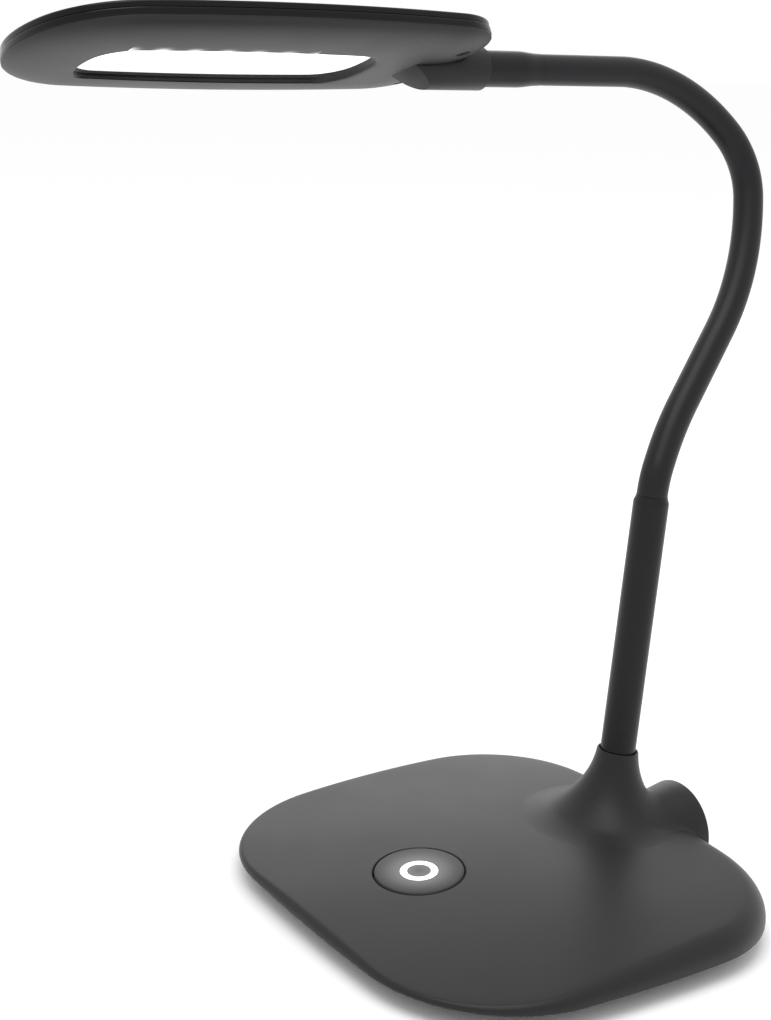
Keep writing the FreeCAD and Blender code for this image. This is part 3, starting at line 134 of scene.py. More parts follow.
@dataclass(frozen=True)
class Finish:
    """One material: what it is made of and how its surface was made."""

    name: str
    colour: str
    roughness: float
    metallic: float = 0.0
    ior: float = 1.5
    surface: Surface = Surface.EVEN
    grain_mm: float = 0.6
    drift_mm: float = 40.0
    bump_mm: float = 0.0
    shade: float = 0.06
    roughness_spread: float = 0.05
    sheen: float = 0.0
    glow: str = ""
    glow_strength: float = 0.0

    def build(self) -> bpy.types.Material:
        """Make the node material.

        Returns:
            The material, ready for a piece's slot.
        """
        material = bpy.data.materials.new(self.name)
        material.use_nodes = True
        tree = material.node_tree
        tree.nodes.clear()
        shader = add_node(tree, "ShaderNodeBsdfPrincipled",
                          inputs={"Metallic": self.metallic, "Sheen Weight": self.sheen})
        add_node(tree, "ShaderNodeOutputMaterial", inputs={"Surface": shader.outputs["BSDF"]})
        if not self.metallic:
            shader.inputs["IOR"].default_value = self.ior
        place = add_node(tree, "ShaderNodeTexCoord")
        mapped = add_node(tree, "ShaderNodeMapping",
                          inputs={"Vector": place.outputs["Object"], "Scale": self.surface.value})
        grain = add_node(tree, "ShaderNodeTexNoise",
                         inputs={"Vector": mapped.outputs["Vector"],
                                 "Scale": 1.0 / (self.grain_mm * MM), "Detail": 3.0, "Roughness": 0.55})
        drift = add_node(tree, "ShaderNodeTexNoise",
                         inputs={"Vector": place.outputs["Object"], "Scale": 1.0 / (self.drift_mm * MM),
                                 "Detail": 2.0})
        mixed = add_node(tree, "ShaderNodeMath", {"operation": "ADD"},
                         {0: grain.outputs["Fac"], 1: drift.outputs["Fac"]})
        spread = {"Value": mixed.outputs[0], "From Min": 0.6, "From Max": 1.4}
        tone = add_node(tree, "ShaderNodeMapRange", inputs=spread)
        red, green, blue, _ = linear(self.colour)
        low, high = (tuple(min(1.0, value * level) for value in (red, green, blue)) + (1.0,)
                     for level in (1 - self.shade, 1 + self.shade))
        blend = add_node(tree, "ShaderNodeMix", {"data_type": "RGBA"},
                         {"Factor": tone.outputs["Result"], "A": low, "B": high})
        tree.links.new(blend.outputs["Result"], shader.inputs["Base Color"])
        rough = add_node(tree, "ShaderNodeMapRange",
                         inputs={**spread, "To Min": max(0.02, self.roughness - self.roughness_spread),
                                 "To Max": min(1.0, self.roughness + self.roughness_spread)})
        tree.links.new(rough.outputs["Result"], shader.inputs["Roughness"])
        if self.bump_mm > 0:
            bump = add_node(tree, "ShaderNodeBump",
                            inputs={"Height": grain.outputs["Fac"], "Distance": self.bump_mm * MM,
                                    "Strength": 1.0})
            tree.links.new(bump.outputs["Normal"], shader.inputs["Normal"])
        if self.glow:
            shader.inputs["Emission Color"].default_value = linear(self.glow)
            shader.inputs["Emission Strength"].default_value = self.glow_strength
        return material


# Finishes

SOFT_TOUCH = Finish("soft_touch_abs", "151517", 0.42, ior=1.36, grain_mm=0.7,
                    bump_mm=0.012, sheen=0.04)
# Black ABS moulded smooth under a velvety lacquer, which spreads highlights wide and greys the top.
BUTTON_TOUCH = Finish("soft_touch_button", "131315", 0.44, ior=1.34, grain_mm=0.7,
                      bump_mm=0.012, sheen=0.03)
# The same lacquer on the button, a shade deeper. Button.light_halo paints the lit ring's glow onto it.
ARM_TOUCH = Finish("soft_touch_arm", "131315", 0.42, ior=1.34, grain_mm=0.7,
                    bump_mm=0.012, sheen=0.03)
# The same lacquer on the arm block, a shade deeper than on the base.
FINE_ABS = Finish("spark_textured_abs", "191818", 0.46, ior=1.37, grain_mm=0.6,
                  bump_mm=0.014)
# Warm grey ABS from a spark-eroded mould: an even fine grain that dulls reflections. Head.light_lip paints the
# lights' glow onto it as emitting spots beside the window.
DARK_ABS = Finish("moulded_dark_abs", "2a2a2b", 0.45, grain_mm=0.6, bump_mm=0.015)
# Plain moulded ABS with a light grain.
PIANO_BLACK = Finish("polished_black_abs", "09090a", 0.1, ior=1.28, shade=0.02, roughness_spread=0.02)
# ABS from a polished mould, hard lacquered: deep black with sharp edge lines.
SILICONE = Finish("silicone_sleeve", "121215", 0.4, ior=1.32, grain_mm=0.7,
                  bump_mm=0.006, sheen=0.02)
# Extruded silicone over the neck: satin, almost smooth, one soft line of light along it.
FOOT_TPE = Finish("foot_rubber_tpe", "1c1c1d", 0.8, grain_mm=0.8, bump_mm=0.03)
# Soft elastomer feet with the matt skin of an unpolished mould.
LACQUERED_STEEL = Finish("satin_black_lacquer_on_steel", "101013", 0.36, ior=1.32, shade=0.04)
# Drawn steel tube under a thin satin black lacquer.
ZINC_STEEL = Finish("zinc_plated_steel", "b9babd", 0.3, metallic=1.0, surface=Surface.BRUSHED, grain_mm=0.3,
                    bump_mm=0.004)
# Bright zinc over turned or pressed steel, with fine tool lines.
CAST_IRON = Finish("cast_iron_ballast", "3b3b3c", 0.72, metallic=1.0, grain_mm=1.4,
                   bump_mm=0.12, shade=0.15)
# Sand-cast iron with a pitted skin.
SOLDER_MASK = Finish("green_solder_mask", "1c5a35", 0.3, grain_mm=1.2, bump_mm=0.01)
# Glossy mask over woven glass laminate.
LEAD_PVC = Finish("lead_pvc", "18181a", 0.5, shade=0.05)
# Extruded wire insulation, faintly waxy.
PLATED_BRASS = Finish("plated_brass_pin", "d2b366", 0.25, metallic=1.0, shade=0.05)
# Turned brass with a thin bright plating.
OPAL_ACRYLIC = Finish("opal_acrylic_lit", "f4f5f7", 0.35, shade=0.02, glow=WHITE, glow_strength=0.9)
# Milky cast acrylic, lit from its edge: an even white glow.
CLEAR_ACRYLIC = Finish("clear_acrylic_guide", "dfe3e5", 0.08, shade=0.02, ior=1.49)
# Polished acrylic sheet.
WHITE_FILM = Finish("white_polyester_film", "ededed", 0.5, shade=0.03)
# Reflective polyester film.
LED_RESIN = Finish("led_phosphor_resin", "f3ecc9", 0.3, shade=0.05, glow="fffdf0", glow_strength=1.0)
# Yellow phosphor in clear resin, lit.

SLOT_FINISHES = {
    "soft_black": ARM_TOUCH,
    "gloss_black": PIANO_BLACK,
    "dark_plastic": DARK_ABS,
    "grey_plastic": FINE_ABS,
    "neck_rubber": SILICONE,
    "foot_rubber": FOOT_TPE,
    "sleeve_metal": LACQUERED_STEEL,
    "steel": ZINC_STEEL,
    "ballast_iron": CAST_IRON,
    "board_green": SOLDER_MASK,
    "lead_black": LEAD_PVC,
    "contact_brass": PLATED_BRASS,
    "light_white": OPAL_ACRYLIC,
    "clear_guide": CLEAR_ACRYLIC,
    "white_film": WHITE_FILM,
    "led_body": LED_RESIN,
}
_MADE: dict[str, bpy.types.Material] = {}


def material_of(finish: Finish) -> bpy.types.Material:
    """Give the finish's material, made on its first use.

    Args:
        finish: the finish wanted.

    Returns:
        The one material of that finish.
    """
    if finish.name not in _MADE:
        _MADE[finish.name] = finish.build()
    return _MADE[finish.name]


def add_glow(material: bpy.types.Material, known: dict[str, Any],
             sums: Sequence[tuple[str, str, Any, Any]]) -> None:
    """Work out a white glow from named values and let the material give it off.

    Args:
        material: the material that glows.
        known: sockets to start from, by name.
        sums: name, operation and two values of each sum, a value being a name or a number; the last
            one is the glow's strength.
    """
    tree = material.node_tree
    values = dict(known)
    for name, operation, first, second in sums:
        values[name] = add_node(tree, "ShaderNodeMath", {"operation": operation},
                                {0: values.get(first, first), 1: values.get(second, second)}).outputs[0]
    shader = next(node for node in tree.nodes if node.type == "BSDF_PRINCIPLED")
    shader.inputs["Emission Color"].default_value = linear(WHITE)
    tree.links.new(values[sums[-1][0]], shader.inputs["Emission Strength"])


# Meshes from rings


def placed(name: str, data: Any) -> bpy.types.Object:
    """Put data in the scene as an object at the origin.

    Args:
        name: the object's name.
        data: its mesh, curve, light or camera.

    Returns:
        The object.
    """
    made = bpy.data.objects.new(name, data)
    bpy.context.scene.collection.objects.link(made)
    return made


def evaluated_mesh(source: bpy.types.Object) -> bpy.types.Mesh:
    """Give the plain mesh of an object with its modifiers applied."""
    bpy.context.view_layer.update()
    evaluated = source.evaluated_get(bpy.context.evaluated_depsgraph_get())
    return bpy.data.meshes.new_from_object(evaluated)


def finished(name: str, mesh: bpy.types.Mesh, finish: Finish, sharp_degrees: float = 32.0) -> bpy.types.Object:
    """Put a mesh in the scene with its finish and smooth shading.

    Args:
        name: the piece's name.
        mesh: its mesh, in metres.
        finish: its material.
        sharp_degrees: edges that turn more than this stay sharp.

    Returns:
        The piece, at the origin.
    """
    mesh.materials.clear()
    mesh.materials.append(material_of(finish))
    mesh.polygons.foreach_set("use_smooth", [True] * len(mesh.polygons))
    mesh.set_sharp_from_angle(angle=math.radians(sharp_degrees))
    LOG.info("%s: %d faces", name, len(mesh.polygons))
    return placed(name, mesh)


def dressed(piece: bpy.types.Object, node: str, body: str) -> None:
    """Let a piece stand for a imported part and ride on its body.

    Args:
        piece: the piece.
        node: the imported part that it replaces.
        body: the body that carries it.
    """
    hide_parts(node)
    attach(piece, body)


def round_turns(steps: int) -> list[float]:
    """Angles of a full turn in equal steps."""
    return [2 * math.pi * index / steps for index in range(steps)]


def quarter(steps: int) -> list[float]:
    """Angles of a quarter turn in equal steps, its start left out."""
    return [math.radians(90 * step / steps) for step in range(1, steps + 1)]


def lifted(loop: Sequence[Vector], height: float) -> list[Vector]:
    """Lay a flat loop at a height."""
    return [Vector((point.x, point.y, height)) for point in loop]


def ring_mesh(name: str, rings: Sequence[Sequence[Vector]], cyclic: bool = False) -> bpy.types.Mesh:
    """Join closed rings of points into a closed mesh.

    Args:
        name: the mesh's name.
        rings: rings of equal length in order, in millimetres; a ring of one point is a pole.
        cyclic: join the last ring to the first one.

    Returns:
        The mesh in metres, its faces pointing outwards.
    """
    build = bmesh.new()
    made = [[build.verts.new(point * MM) for point in ring] for ring in rings]
    pairs = list(zip(made, made[1:]))
    if cyclic:
        pairs.append((made[-1], made[0]))
    for low, high in pairs:
        count = max(len(low), len(high))
        for index in range(count):
            after = (index + 1) % count
            if len(low) == 1:
                build.faces.new((low[0], high[after], high[index]))
            elif len(high) == 1:
                build.faces.new((low[index], low[after], high[0]))
            else:
                build.faces.new((low[index], low[after], high[after], high[index]))
    if not cyclic:
        for ring in (made[0], made[-1]):
            if len(ring) > 1:
                build.faces.new(ring)
    bmesh.ops.recalc_face_normals(build, faces=build.faces)
    mesh = bpy.data.meshes.new(name)
    build.to_mesh(mesh)
    build.free()
    return mesh


def turned(name: str, profile: Sequence[tuple[float, float]], frame: Matrix, finish: Finish,
           steps: int = 96, cyclic: bool = False) -> bpy.types.Object:
    """Turn a profile about a frame's own Z axis.

    Args:
        name: the piece's name.
        profile: radius and height pairs in millimetres.
        frame: where the axis stands, in millimetres.
        finish: its material.
        steps: points round the axis.
        cyclic: the profile is a closed loop away from the axis.

    Returns:
        The piece.
    """
    rings = []
    for radius, height in profile:
        if radius <= 0:
            rings.append([frame @ Vector((0, 0, height))])
            continue
        rings.append([frame @ Vector((radius * math.cos(turn), radius * math.sin(turn), height))
                      for turn in round_turns(steps)])
    return finished(name, ring_mesh(name, rings, cyclic), finish)


def circle_through(start: Vector, middle: Vector, end: Vector) -> tuple[Vector, float]:
    """Find the flat circle through three points.

    Args:
        start: first point.
        middle: a point between.
        end: last point.

    Returns:
        Centre and radius.
    """
    side_a = middle - start
    side_b = end - start
    cross = 2 * (side_a.x * side_b.y - side_a.y * side_b.x)
    length_a = side_a.length_squared
    length_b = side_b.length_squared
    centre = start + Vector((side_b.y * length_a - side_a.y * length_b,
                             side_a.x * length_b - side_b.x * length_a)) / cross
    return centre, (start - centre).length


def arc_points(start: Vector, middle: Vector, end: Vector, steps: int) -> list[Vector]:
    """Points along the flat arc through three points, without its last one.

    Args:
        start: first point.
        middle: a point of the arc.
        end: last point.
        steps: how many points.

    Returns:
        The points, the start first.
    """
    centre, radius = circle_through(start, middle, end)
    angles = [math.atan2(point.y - centre.y, point.x - centre.x) for point in (start, middle, end)]
    sweep = (angles[2] - angles[0]) % (2 * math.pi)
    if (angles[1] - angles[0]) % (2 * math.pi) > sweep:
        sweep -= 2 * math.pi
    return [centre + radius * Vector((math.cos(angles[0] + sweep * index / steps),
                                      math.sin(angles[0] + sweep * index / steps)))
            for index in range(steps)]


@dataclass(frozen=True)
class Plan:
    """Outline of eight tangent arcs: bowed sides and ends with round corners."""

    half_width: float
    side_radius: float
    rear: tuple[float, float, float]
    front: tuple[float, float, float]
    across: float = 0.0
    centre: float = 0.0
    side_steps: int = 26
    corner_steps: int = 20

    def corner(self, end: tuple[float, float, float], inset: float) -> tuple[Vector, Vector, Vector]:
        """Find one corner's arc.

        Args:
            end: half-length, bow radius and corner radius of that end.
            inset: how far the outline is moved in.

        Returns:
            Its end on the side, its middle and its end on the bowed end.
        """
        half_width = self.half_width - inset
        half_length, end_radius, corner_radius = (value - inset for value in end)
        side_radius = self.side_radius - inset
        side_x = half_width - side_radius
        end_y = half_length - end_radius
        reach_side = side_radius - corner_radius
        reach_end = end_radius - corner_radius
        base = (reach_side ** 2 - reach_end ** 2 - side_x ** 2 + end_y ** 2) / (2 * end_y)
        slope = side_x / end_y
        half_b = base * slope - side_x
        square = 1 + slope ** 2
        root = math.sqrt(half_b ** 2 - square * (side_x ** 2 + base ** 2 - reach_side ** 2))
        choices = [(sign * root - half_b) / square for sign in (-1, 1)]
        centre = max((Vector((across, base + slope * across)) for across in choices), key=lambda spot: spot.y)
        to_side = (centre - Vector((side_x, 0))).normalized()
        to_end = (centre - Vector((0, end_y))).normalized()
        middle = (to_side + to_end).normalized()
        return (centre + to_side * corner_radius, centre + middle * corner_radius,
                centre + to_end * corner_radius)

    def loop(self, inset: float = 0.0) -> list[Vector]:
        """Points round the outline.

        Args:
            inset: how far the outline is moved in, negative for out.

        Returns:
            Flat points, always the same number in the same order.
        """
        rear = self.corner(self.rear, inset)
        front = self.corner(self.front, inset)

        def place(point: Vector, right: int, back: int) -> Vector:
            """Mirror a point into its quarter."""
            return Vector((point.x * right + self.across, point.y * back + self.centre))

        side = Vector((self.half_width - inset, 0))
        rear_end = Vector((0, self.rear[0] - inset))
        front_end = Vector((0, self.front[0] - inset))
        knots = [place(point, right, back) for point, right, back in (
            (front[0], 1, -1), (side, 1, 1), (rear[0], 1, 1), (rear[1], 1, 1), (rear[2], 1, 1),
            (rear_end, 1, 1), (rear[2], -1, 1), (rear[1], -1, 1), (rear[0], -1, 1), (side, -1, 1),
            (front[0], -1, -1), (front[1], -1, -1), (front[2], -1, -1), (front_end, 1, -1),
            (front[2], 1, -1), (front[1], 1, -1), (front[0], 1, -1))]
        points: list[Vector] = []
        for index in range(0, len(knots) - 1, 2):
            steps = self.corner_steps if index % 4 else self.side_steps
            points.extend(arc_points(*knots[index:index + 3], steps))
        return points


def blend_up(first: float, second: float, reach: float) -> float:
    """Higher of two heights, rounded where they meet.

    Args:
        first: one height.
        second: the other height.
        reach: difference at which the rounding ends.

    Returns:
        The rounded height.
    """
    near = max(reach - abs(first - second), 0.0) / reach
    return max(first, second) + near * near * reach / 4


# Base


@dataclass
class Base:
    """Pillow-shaped base with the neck's boss, the inlet's hump and the feet."""

    width: float = 186.4
    depth: float = 169.0
    lift: float = 4.0
    waist: float = 7.4
    tuck: float = 8.0
    lower_edge: tuple[tuple[float, float], ...] = ((4.0, 5.7), (1.2, 6.75), (0.35, 7.2), (0.05, 7.6))
    inner_rise: float = 2.0
    top: float = 20.4
    top_slope: float = 3.4
    crown: float = 5.1
    roll_share: float = 0.85
    wall: float = 2.4
    button_y: float = -34.6
    button_hole: float = 17.5
    hole_bevel: float = 0.35
    stem_y: float = 58.3
    stem_z: float = 20.8
    stem_lean: float = 4.9
    boss_ring: float = 8.2
    boss_waist: tuple[float, float] = (12.9, 13.0)
    boss_foot: float = 26.7
    boss_height: float = 27.6
    boss_end: float = 15.0
    boss_runout: float = 0.5
    boss_sunk: float = 3.5
    sleeve_seat: float = 2.4
    ring_gap: float = 7.45
    hump_x: float = 8.8
    hump_front: tuple[float, float] = (58.0, 13.4)
    hump_rear: tuple[float, float] = (88.0, 18.3)
    hump_axis: float = 13.7
    hump_floor: float = 10.0
    hump_edge: float = 1.2
    floor_spread: float = 1.02
    hump_points: int = 72
    inlet_z: float = 20.5
    inlet_radius: float = 4.6
    inlet_depth: float = 2.6
    inlet_bevel: tuple[float, float] = (0.4, 0.35)
    fillet_start: float = 11.5
    fillet_reach: float = 33.0
    fillet_floor: float = 12.0
    fillet_sink: float = 0.05
    boss_blend: float = 6.0
    top_blend: float = 3.0
    rear_margin: float = 0.8
    foot_radius: float = 9.0
    foot_spots: tuple[tuple[float, float], ...] = ((-60, -50), (60, -50), (-60, 50), (60, 50), (0, 0))
    plan: Plan = field(init=False)

    def __post_init__(self) -> None:
        """Work out the outline."""
        self.plan = Plan(self.width / 2, 600.0, (self.depth / 2, 900.0, 52.0), (self.depth / 2, 900.0, 56.0))

    @property
    def stem(self) -> Matrix:
        """Frame of the boss, its Z axis along the neck's root."""
        return Matrix.Translation((0, self.stem_y, self.stem_z)) @ Matrix.Rotation(
            -math.radians(self.stem_lean), 4, "X")

    def ball(self, across: float, along: float) -> float:
        """Height of the crowned top, before its edge is rolled.

        Args:
            across: place on X.
            along: place on Y.

        Returns:
            The height.
        """
        span = (self.width + self.depth) / 4
        radius = span ** 2 / (2 * self.crown)
        lean = math.radians(self.top_slope)
        centre = Vector((0, 0, self.top)) - Vector((0, -math.sin(lean), math.cos(lean))) * radius
        return centre.z + math.sqrt(radius ** 2 - (across - centre.x) ** 2 - (along - centre.y) ** 2)

    def cover(self) -> bpy.types.Object:
        """Make the cover: tucked lower edge, rolled rim, crowned top and the button's opening."""
        edge = self.plan.loop()
        rolls = [(self.ball(point.x, point.y) - self.waist) * self.roll_share for point in edge]
        inner_wall = self.tuck + self.wall
        foot = ((inner_wall, self.lift + self.inner_rise), (inner_wall, self.lift),
                (self.tuck + 0.5, self.lift), (self.tuck - 0.3, self.lift + 0.25), *self.lower_edge)
        rings = [lifted(self.plan.loop(inset), height) for inset, height in foot]
        normals = [(after - point).normalized() for point, after in zip(edge, self.plan.loop(1.0))]
        for turn in (0.0, *quarter(10)):
            ring = []
            for point, normal, roll in zip(edge, normals, rolls):
                spot = point + normal * roll * (1 - math.cos(turn))
                height = self.ball(spot.x, spot.y) - roll * (1 - math.sin(turn))
                ring.append(Vector((spot.x, spot.y, height)))
            rings.append(ring)
        last = rings[-1]
        hole = Vector((0, self.button_y))
        rim = [hole + (Vector((point.x, point.y)) - hole).normalized() * self.button_hole for point in last]
        ceiling = []
        steps = 30
        for step in range(1, steps + 1):
            ring = []
            for point, target in zip(last, rim):
                outer = target + (target - hole).normalized() * self.hole_bevel
                spot = Vector((point.x, point.y)).lerp(outer, step / steps)
                ring.append(Vector((spot.x, spot.y, self.ball(spot.x, spot.y))))
            rings.append(ring)
            ceiling.append([point - Vector((0, 0, self.wall)) for point in ring])
        for drop in (self.hole_bevel, self.wall):
            rings.append([Vector((point.x, point.y, self.ball(point.x, point.y) - drop)) for point in rim])
        rings.extend(reversed(ceiling))
        return finished("base_cover", ring_mesh("base_cover", rings, cyclic=True), SOFT_TOUCH, 25)

    def boss_arc(self) -> tuple[Vector, float]:
        """Circle of the boss's hollow flank, as radius and height over the neck's root."""
        return circle_through(Vector((self.boss_foot, 0)), Vector(self.boss_waist),
                              Vector((self.boss_ring, self.boss_height)))

    def boss_flank(self, radius: float) -> float:
        """Height of the boss's flank over the neck's root.

        Args:
            radius: distance from its axis.

        Returns:
            The height, falling on past the foot.
        """
        centre, size = self.boss_arc()
        turning = centre.x - size * math.sin(math.atan(self.boss_runout))
        flank = min(radius, turning)
        height = centre.y - math.sqrt(size ** 2 - (flank - centre.x) ** 2)
        return height - (radius - flank) * self.boss_runout

    def boss(self) -> bpy.types.Object:
        """Make the boss that the lower sleeve stands in."""
        top = self.boss_height
        profile = [(self.ring_gap, top - self.sleeve_seat), (self.ring_gap, top - 0.25),
                   (self.ring_gap + 0.15, top), (self.boss_ring - 0.2, top), (self.boss_ring, top - 0.3)]
        steps = 40
        for step in range(1, steps + 1):
            radius = self.boss_ring + (self.boss_end - self.boss_ring) * (step / steps) ** 1.3
            profile.append((radius, self.boss_flank(radius)))
        profile += [(self.boss_end, -self.boss_sunk), (self.ring_gap, -self.boss_sunk)]
        return turned("neck_boss", profile, self.stem, SOFT_TOUCH, steps=128, cyclic=True)

    def hump_height(self, across: float, along: float) -> float:
        """Height of the hump's barrel, or far below where it isn't.

        Args:
            across: place on X.
            along: place on Y.

        Returns:
            The height.
        """
        share = (along - self.hump_front[0]) / (self.hump_rear[0] - self.hump_front[0])
        radius = self.hump_front[1] + (self.hump_rear[1] - self.hump_front[1]) * share
        inside = radius ** 2 - (across - self.hump_x) ** 2
        if share < 0 or inside <= 0:
            return 0.0
        return self.hump_axis + math.sqrt(inside)

    def hump(self) -> bpy.types.Object:
        """Make the barrel round the power inlet, with its rolled rear rim and the plug's hole."""
        front_y, front_radius = self.hump_front
        rear_y, rear_radius = self.hump_rear
        edge = self.hump_edge
        stations = [(front_y + (rear_y - edge - front_y) * share / 6,
                     front_radius + (rear_radius - front_radius) * share / 6) for share in range(7)]
        stations += [(rear_y - edge * (1 - math.sin(turn)), rear_radius - edge * (1 - math.cos(turn)))
                     for turn in quarter(4)]
        turns = round_turns(self.hump_points)
        rings = [[self.barrel_point(radius, turn, along) for turn in turns] for along, radius in stations]
        widening, setback = self.inlet_bevel
        for along, radius in ((rear_y, self.inlet_radius + widening), (rear_y - setback, self.inlet_radius),
                              (rear_y - self.inlet_depth, self.inlet_radius)):
            rings.append([Vector((self.hump_x + radius * math.cos(turn), along,
                                  self.inlet_z + radius * math.sin(turn))) for turn in turns])
        for along, radius in ((rear_y - self.inlet_depth, rear_radius), (front_y, front_radius)):
            rings.append([self.barrel_point(radius - self.wall, turn, along, self.wall) for turn in turns])
        return finished("inlet_hump", ring_mesh("inlet_hump", rings, cyclic=True), SOFT_TOUCH, 40)

    def barrel_point(self, radius: float, turn: float, along: float, rise: float = 0.0) -> Vector:
        """Point of the barrel's section, kept above its floor.

        Args:
            radius: the barrel's radius there.
            turn: angle round it.
            along: place on Y.
            rise: floor raised by this much.

        Returns:
            The point.
        """
        height = self.hump_axis + radius * math.sin(turn)
        floor = self.hump_floor + rise
        across = radius * math.cos(turn)
        if height < floor:
            reach = math.sqrt(radius ** 2 - (floor - self.hump_axis) ** 2)
            across = max(-reach, min(reach, across * self.floor_spread))
            height = floor
        return Vector((self.hump_x + across, along, height))

    def boss_height_at(self, across: float, along: float) -> float:
        """World height of the leaning boss over a place.

        Args:
            across: place on X.
            along: place on Y.

        Returns:
            The height.
        """
        lean = math.radians(self.stem_lean)
        forward = along - self.stem_y
        low, high = 0.0, self.stem_z + self.boss_height
        for _ in range(18):
            middle = (low + high) / 2
            rise = middle - self.stem_z
            radius = math.hypot(across, forward * math.cos(lean) - rise * math.sin(lean))
            if forward * math.sin(lean) + rise * math.cos(lean) < self.boss_flank(max(radius, self.boss_ring)):
                low = middle
            else:
                high = middle
        return (low + high) / 2

    def rear_edge(self, across: float) -> float:
        """Place on Y of the bowed rear edge."""
        return self.depth / 2 - across ** 2 / (2 * self.plan.rear[1])

    def top_at(self, across: float, along: float) -> float:
        """Height of the cover's top with its rolled rear edge.

        Args:
            across: place on X.
            along: place on Y.

        Returns:
            The height.
        """
        height = self.ball(across, along)
        roll = (height - self.waist) * self.roll_share
        to_edge = self.rear_edge(across) - along
        if to_edge < roll:
            height -= roll - math.sqrt(max(roll ** 2 - (roll - max(to_edge, 0.0)) ** 2, 0.0))
        return height

    def fillets(self) -> bpy.types.Object:
        """Make the soft hollows where the boss and the hump grow out of the top."""
        steps = 64
        upper: list[list[Vector]] = []
        for step in range(steps + 1):
            radius = self.fillet_start + self.fillet_reach * (step / steps) ** 1.25
            ring = []
            for turn in round_turns(240):
                across = radius * math.cos(turn)
                along = self.stem_y + radius * math.sin(turn)
                limit = self.rear_edge(across) - self.rear_margin
                if along > limit:
                    across *= (limit - self.stem_y) / (along - self.stem_y)
                    along = limit
                height = blend_up(self.boss_height_at(across, along), self.hump_height(across, along),
                                  self.boss_blend)
                height = blend_up(height, self.top_at(across, along), self.top_blend)
                ring.append(Vector((across, along, height - self.fillet_sink)))
            upper.append(ring)
        lower = [lifted(ring, self.fillet_floor) for ring in (upper[-1], upper[0])]
        return finished("boss_fillets", ring_mesh("boss_fillets", upper + lower, cyclic=True), SOFT_TOUCH, 60)

    def feet(self) -> bpy.types.Object:
        """Make the five rubber feet, each with two tread grooves, by instancing one foot."""
        radius = self.foot_radius
        profile = [(0, 0.35), (3.0, 0.35), (3.2, 0.0), (4.6, 0.0), (4.8, 0.5), (5.6, 0.5), (5.8, 0.0),
                   (radius - 1.0, 0.0), (radius - 0.3, 0.3), (radius, 1.0), (radius, self.lift + 0.8),
                   (0, self.lift + 0.8)]
        foot = turned("foot_pattern", profile, Matrix.Identity(4), FOOT_TPE, steps=48)
        return stamped("feet_dressed", foot, [Vector((x, y, 0)) for x, y in self.foot_spots], FOOT_TPE)

    def dress(self) -> None:
        """Build every piece of the base and let it ride."""
        for piece in (self.cover(), self.boss(), self.hump(), self.fillets()):
            dressed(piece, "base_shell", "base")
        dressed(self.feet(), "rubber_feet", "base")


# Geometry node trees


def new_tree(name: str, sockets: Sequence[tuple[str, str]]) -> tuple[bpy.types.NodeTree, dict[str, str],
                                                                     bpy.types.Node, bpy.types.Node]:
    """Start a geometry node tree with named inputs.

    Args:
        name: the tree's name.
        sockets: name and socket type of each input after the geometry.

    Returns:
        The tree, each input's identifier by its name, the input node and the output node.
    """
    tree = bpy.data.node_groups.new(name, "GeometryNodeTree")
    tree.interface.new_socket("Geometry", in_out="INPUT", socket_type="NodeSocketGeometry")
    keys = {}
    for label, kind in sockets:
        keys[label] = tree.interface.new_socket(label, in_out="INPUT", socket_type=kind).identifier
    tree.interface.new_socket("Geometry", in_out="OUTPUT", socket_type="NodeSocketGeometry")
    return tree, keys, add_node(tree, "NodeGroupInput"), add_node(tree, "NodeGroupOutput")


def grown(name: str, source: bpy.types.Object, tree: bpy.types.NodeTree, values: dict[str, Any],
          finish: Finish, sharp_degrees: float = 32.0) -> bpy.types.Object:
    """Run a node tree on an object and keep the result as a plain piece.

    Args:
        name: the piece's name.
        source: object that the tree starts from; it is removed.
        tree: the node tree.
        values: input identifier to value.
        finish: the piece's material.
        sharp_degrees: edges that turn more than this stay sharp.

    Returns:
        The piece.
    """
    modifier = source.modifiers.new("grow", "NODES")
    modifier.node_group = tree
    for key, value in values.items():
        modifier[key] = value
    mesh = evaluated_mesh(source)
    mesh.name = name
    source.modifiers.remove(modifier)
    bpy.data.objects.remove(source)
    return finished(name, mesh, finish, sharp_degrees)


def stamp_tree() -> tuple[bpy.types.NodeTree, dict[str, str]]:
    """Tree that puts one piece at each point of a mesh.

    Returns:
        The tree and its inputs' identifiers.
    """
    tree, keys, start, end = new_tree("stamp", (("Piece", "NodeSocketObject"),
                                                ("Finish", "NodeSocketMaterial")))
    piece = add_node(tree, "GeometryNodeObjectInfo", inputs={"Object": start.outputs["Piece"]})
    spread = add_node(tree, "GeometryNodeInstanceOnPoints",
                      inputs={"Points": start.outputs["Geometry"], "Instance": piece.outputs["Geometry"]})
    solid = add_node(tree, "GeometryNodeRealizeInstances", inputs={"Geometry": spread.outputs["Instances"]})
    coated = add_node(tree, "GeometryNodeSetMaterial",
                      inputs={"Geometry": solid.outputs["Geometry"], "Material": start.outputs["Finish"]})
    tree.links.new(coated.outputs["Geometry"], end.inputs["Geometry"])
    return tree, keys


def stamped(name: str, pattern: bpy.types.Object, spots: Sequence[Vector],
            finish: Finish) -> bpy.types.Object:
    """Copy a pattern piece to several places.

    Args:
        name: the new piece's name.
        pattern: piece to copy, removed afterwards.
        spots: places in millimetres.
        finish: the material.

    Returns:
        One piece that holds the copies.
    """
    points = bpy.data.meshes.new(f"{name}_points")
    points.from_pydata([tuple(spot * MM) for spot in spots], [], [])
    tree, keys = stamp_tree()
    values = {keys["Piece"]: pattern, keys["Finish"]: material_of(finish)}
    piece = grown(name, placed(f"{name}_source", points), tree, values, finish)
    bpy.data.objects.remove(pattern)
    return piece


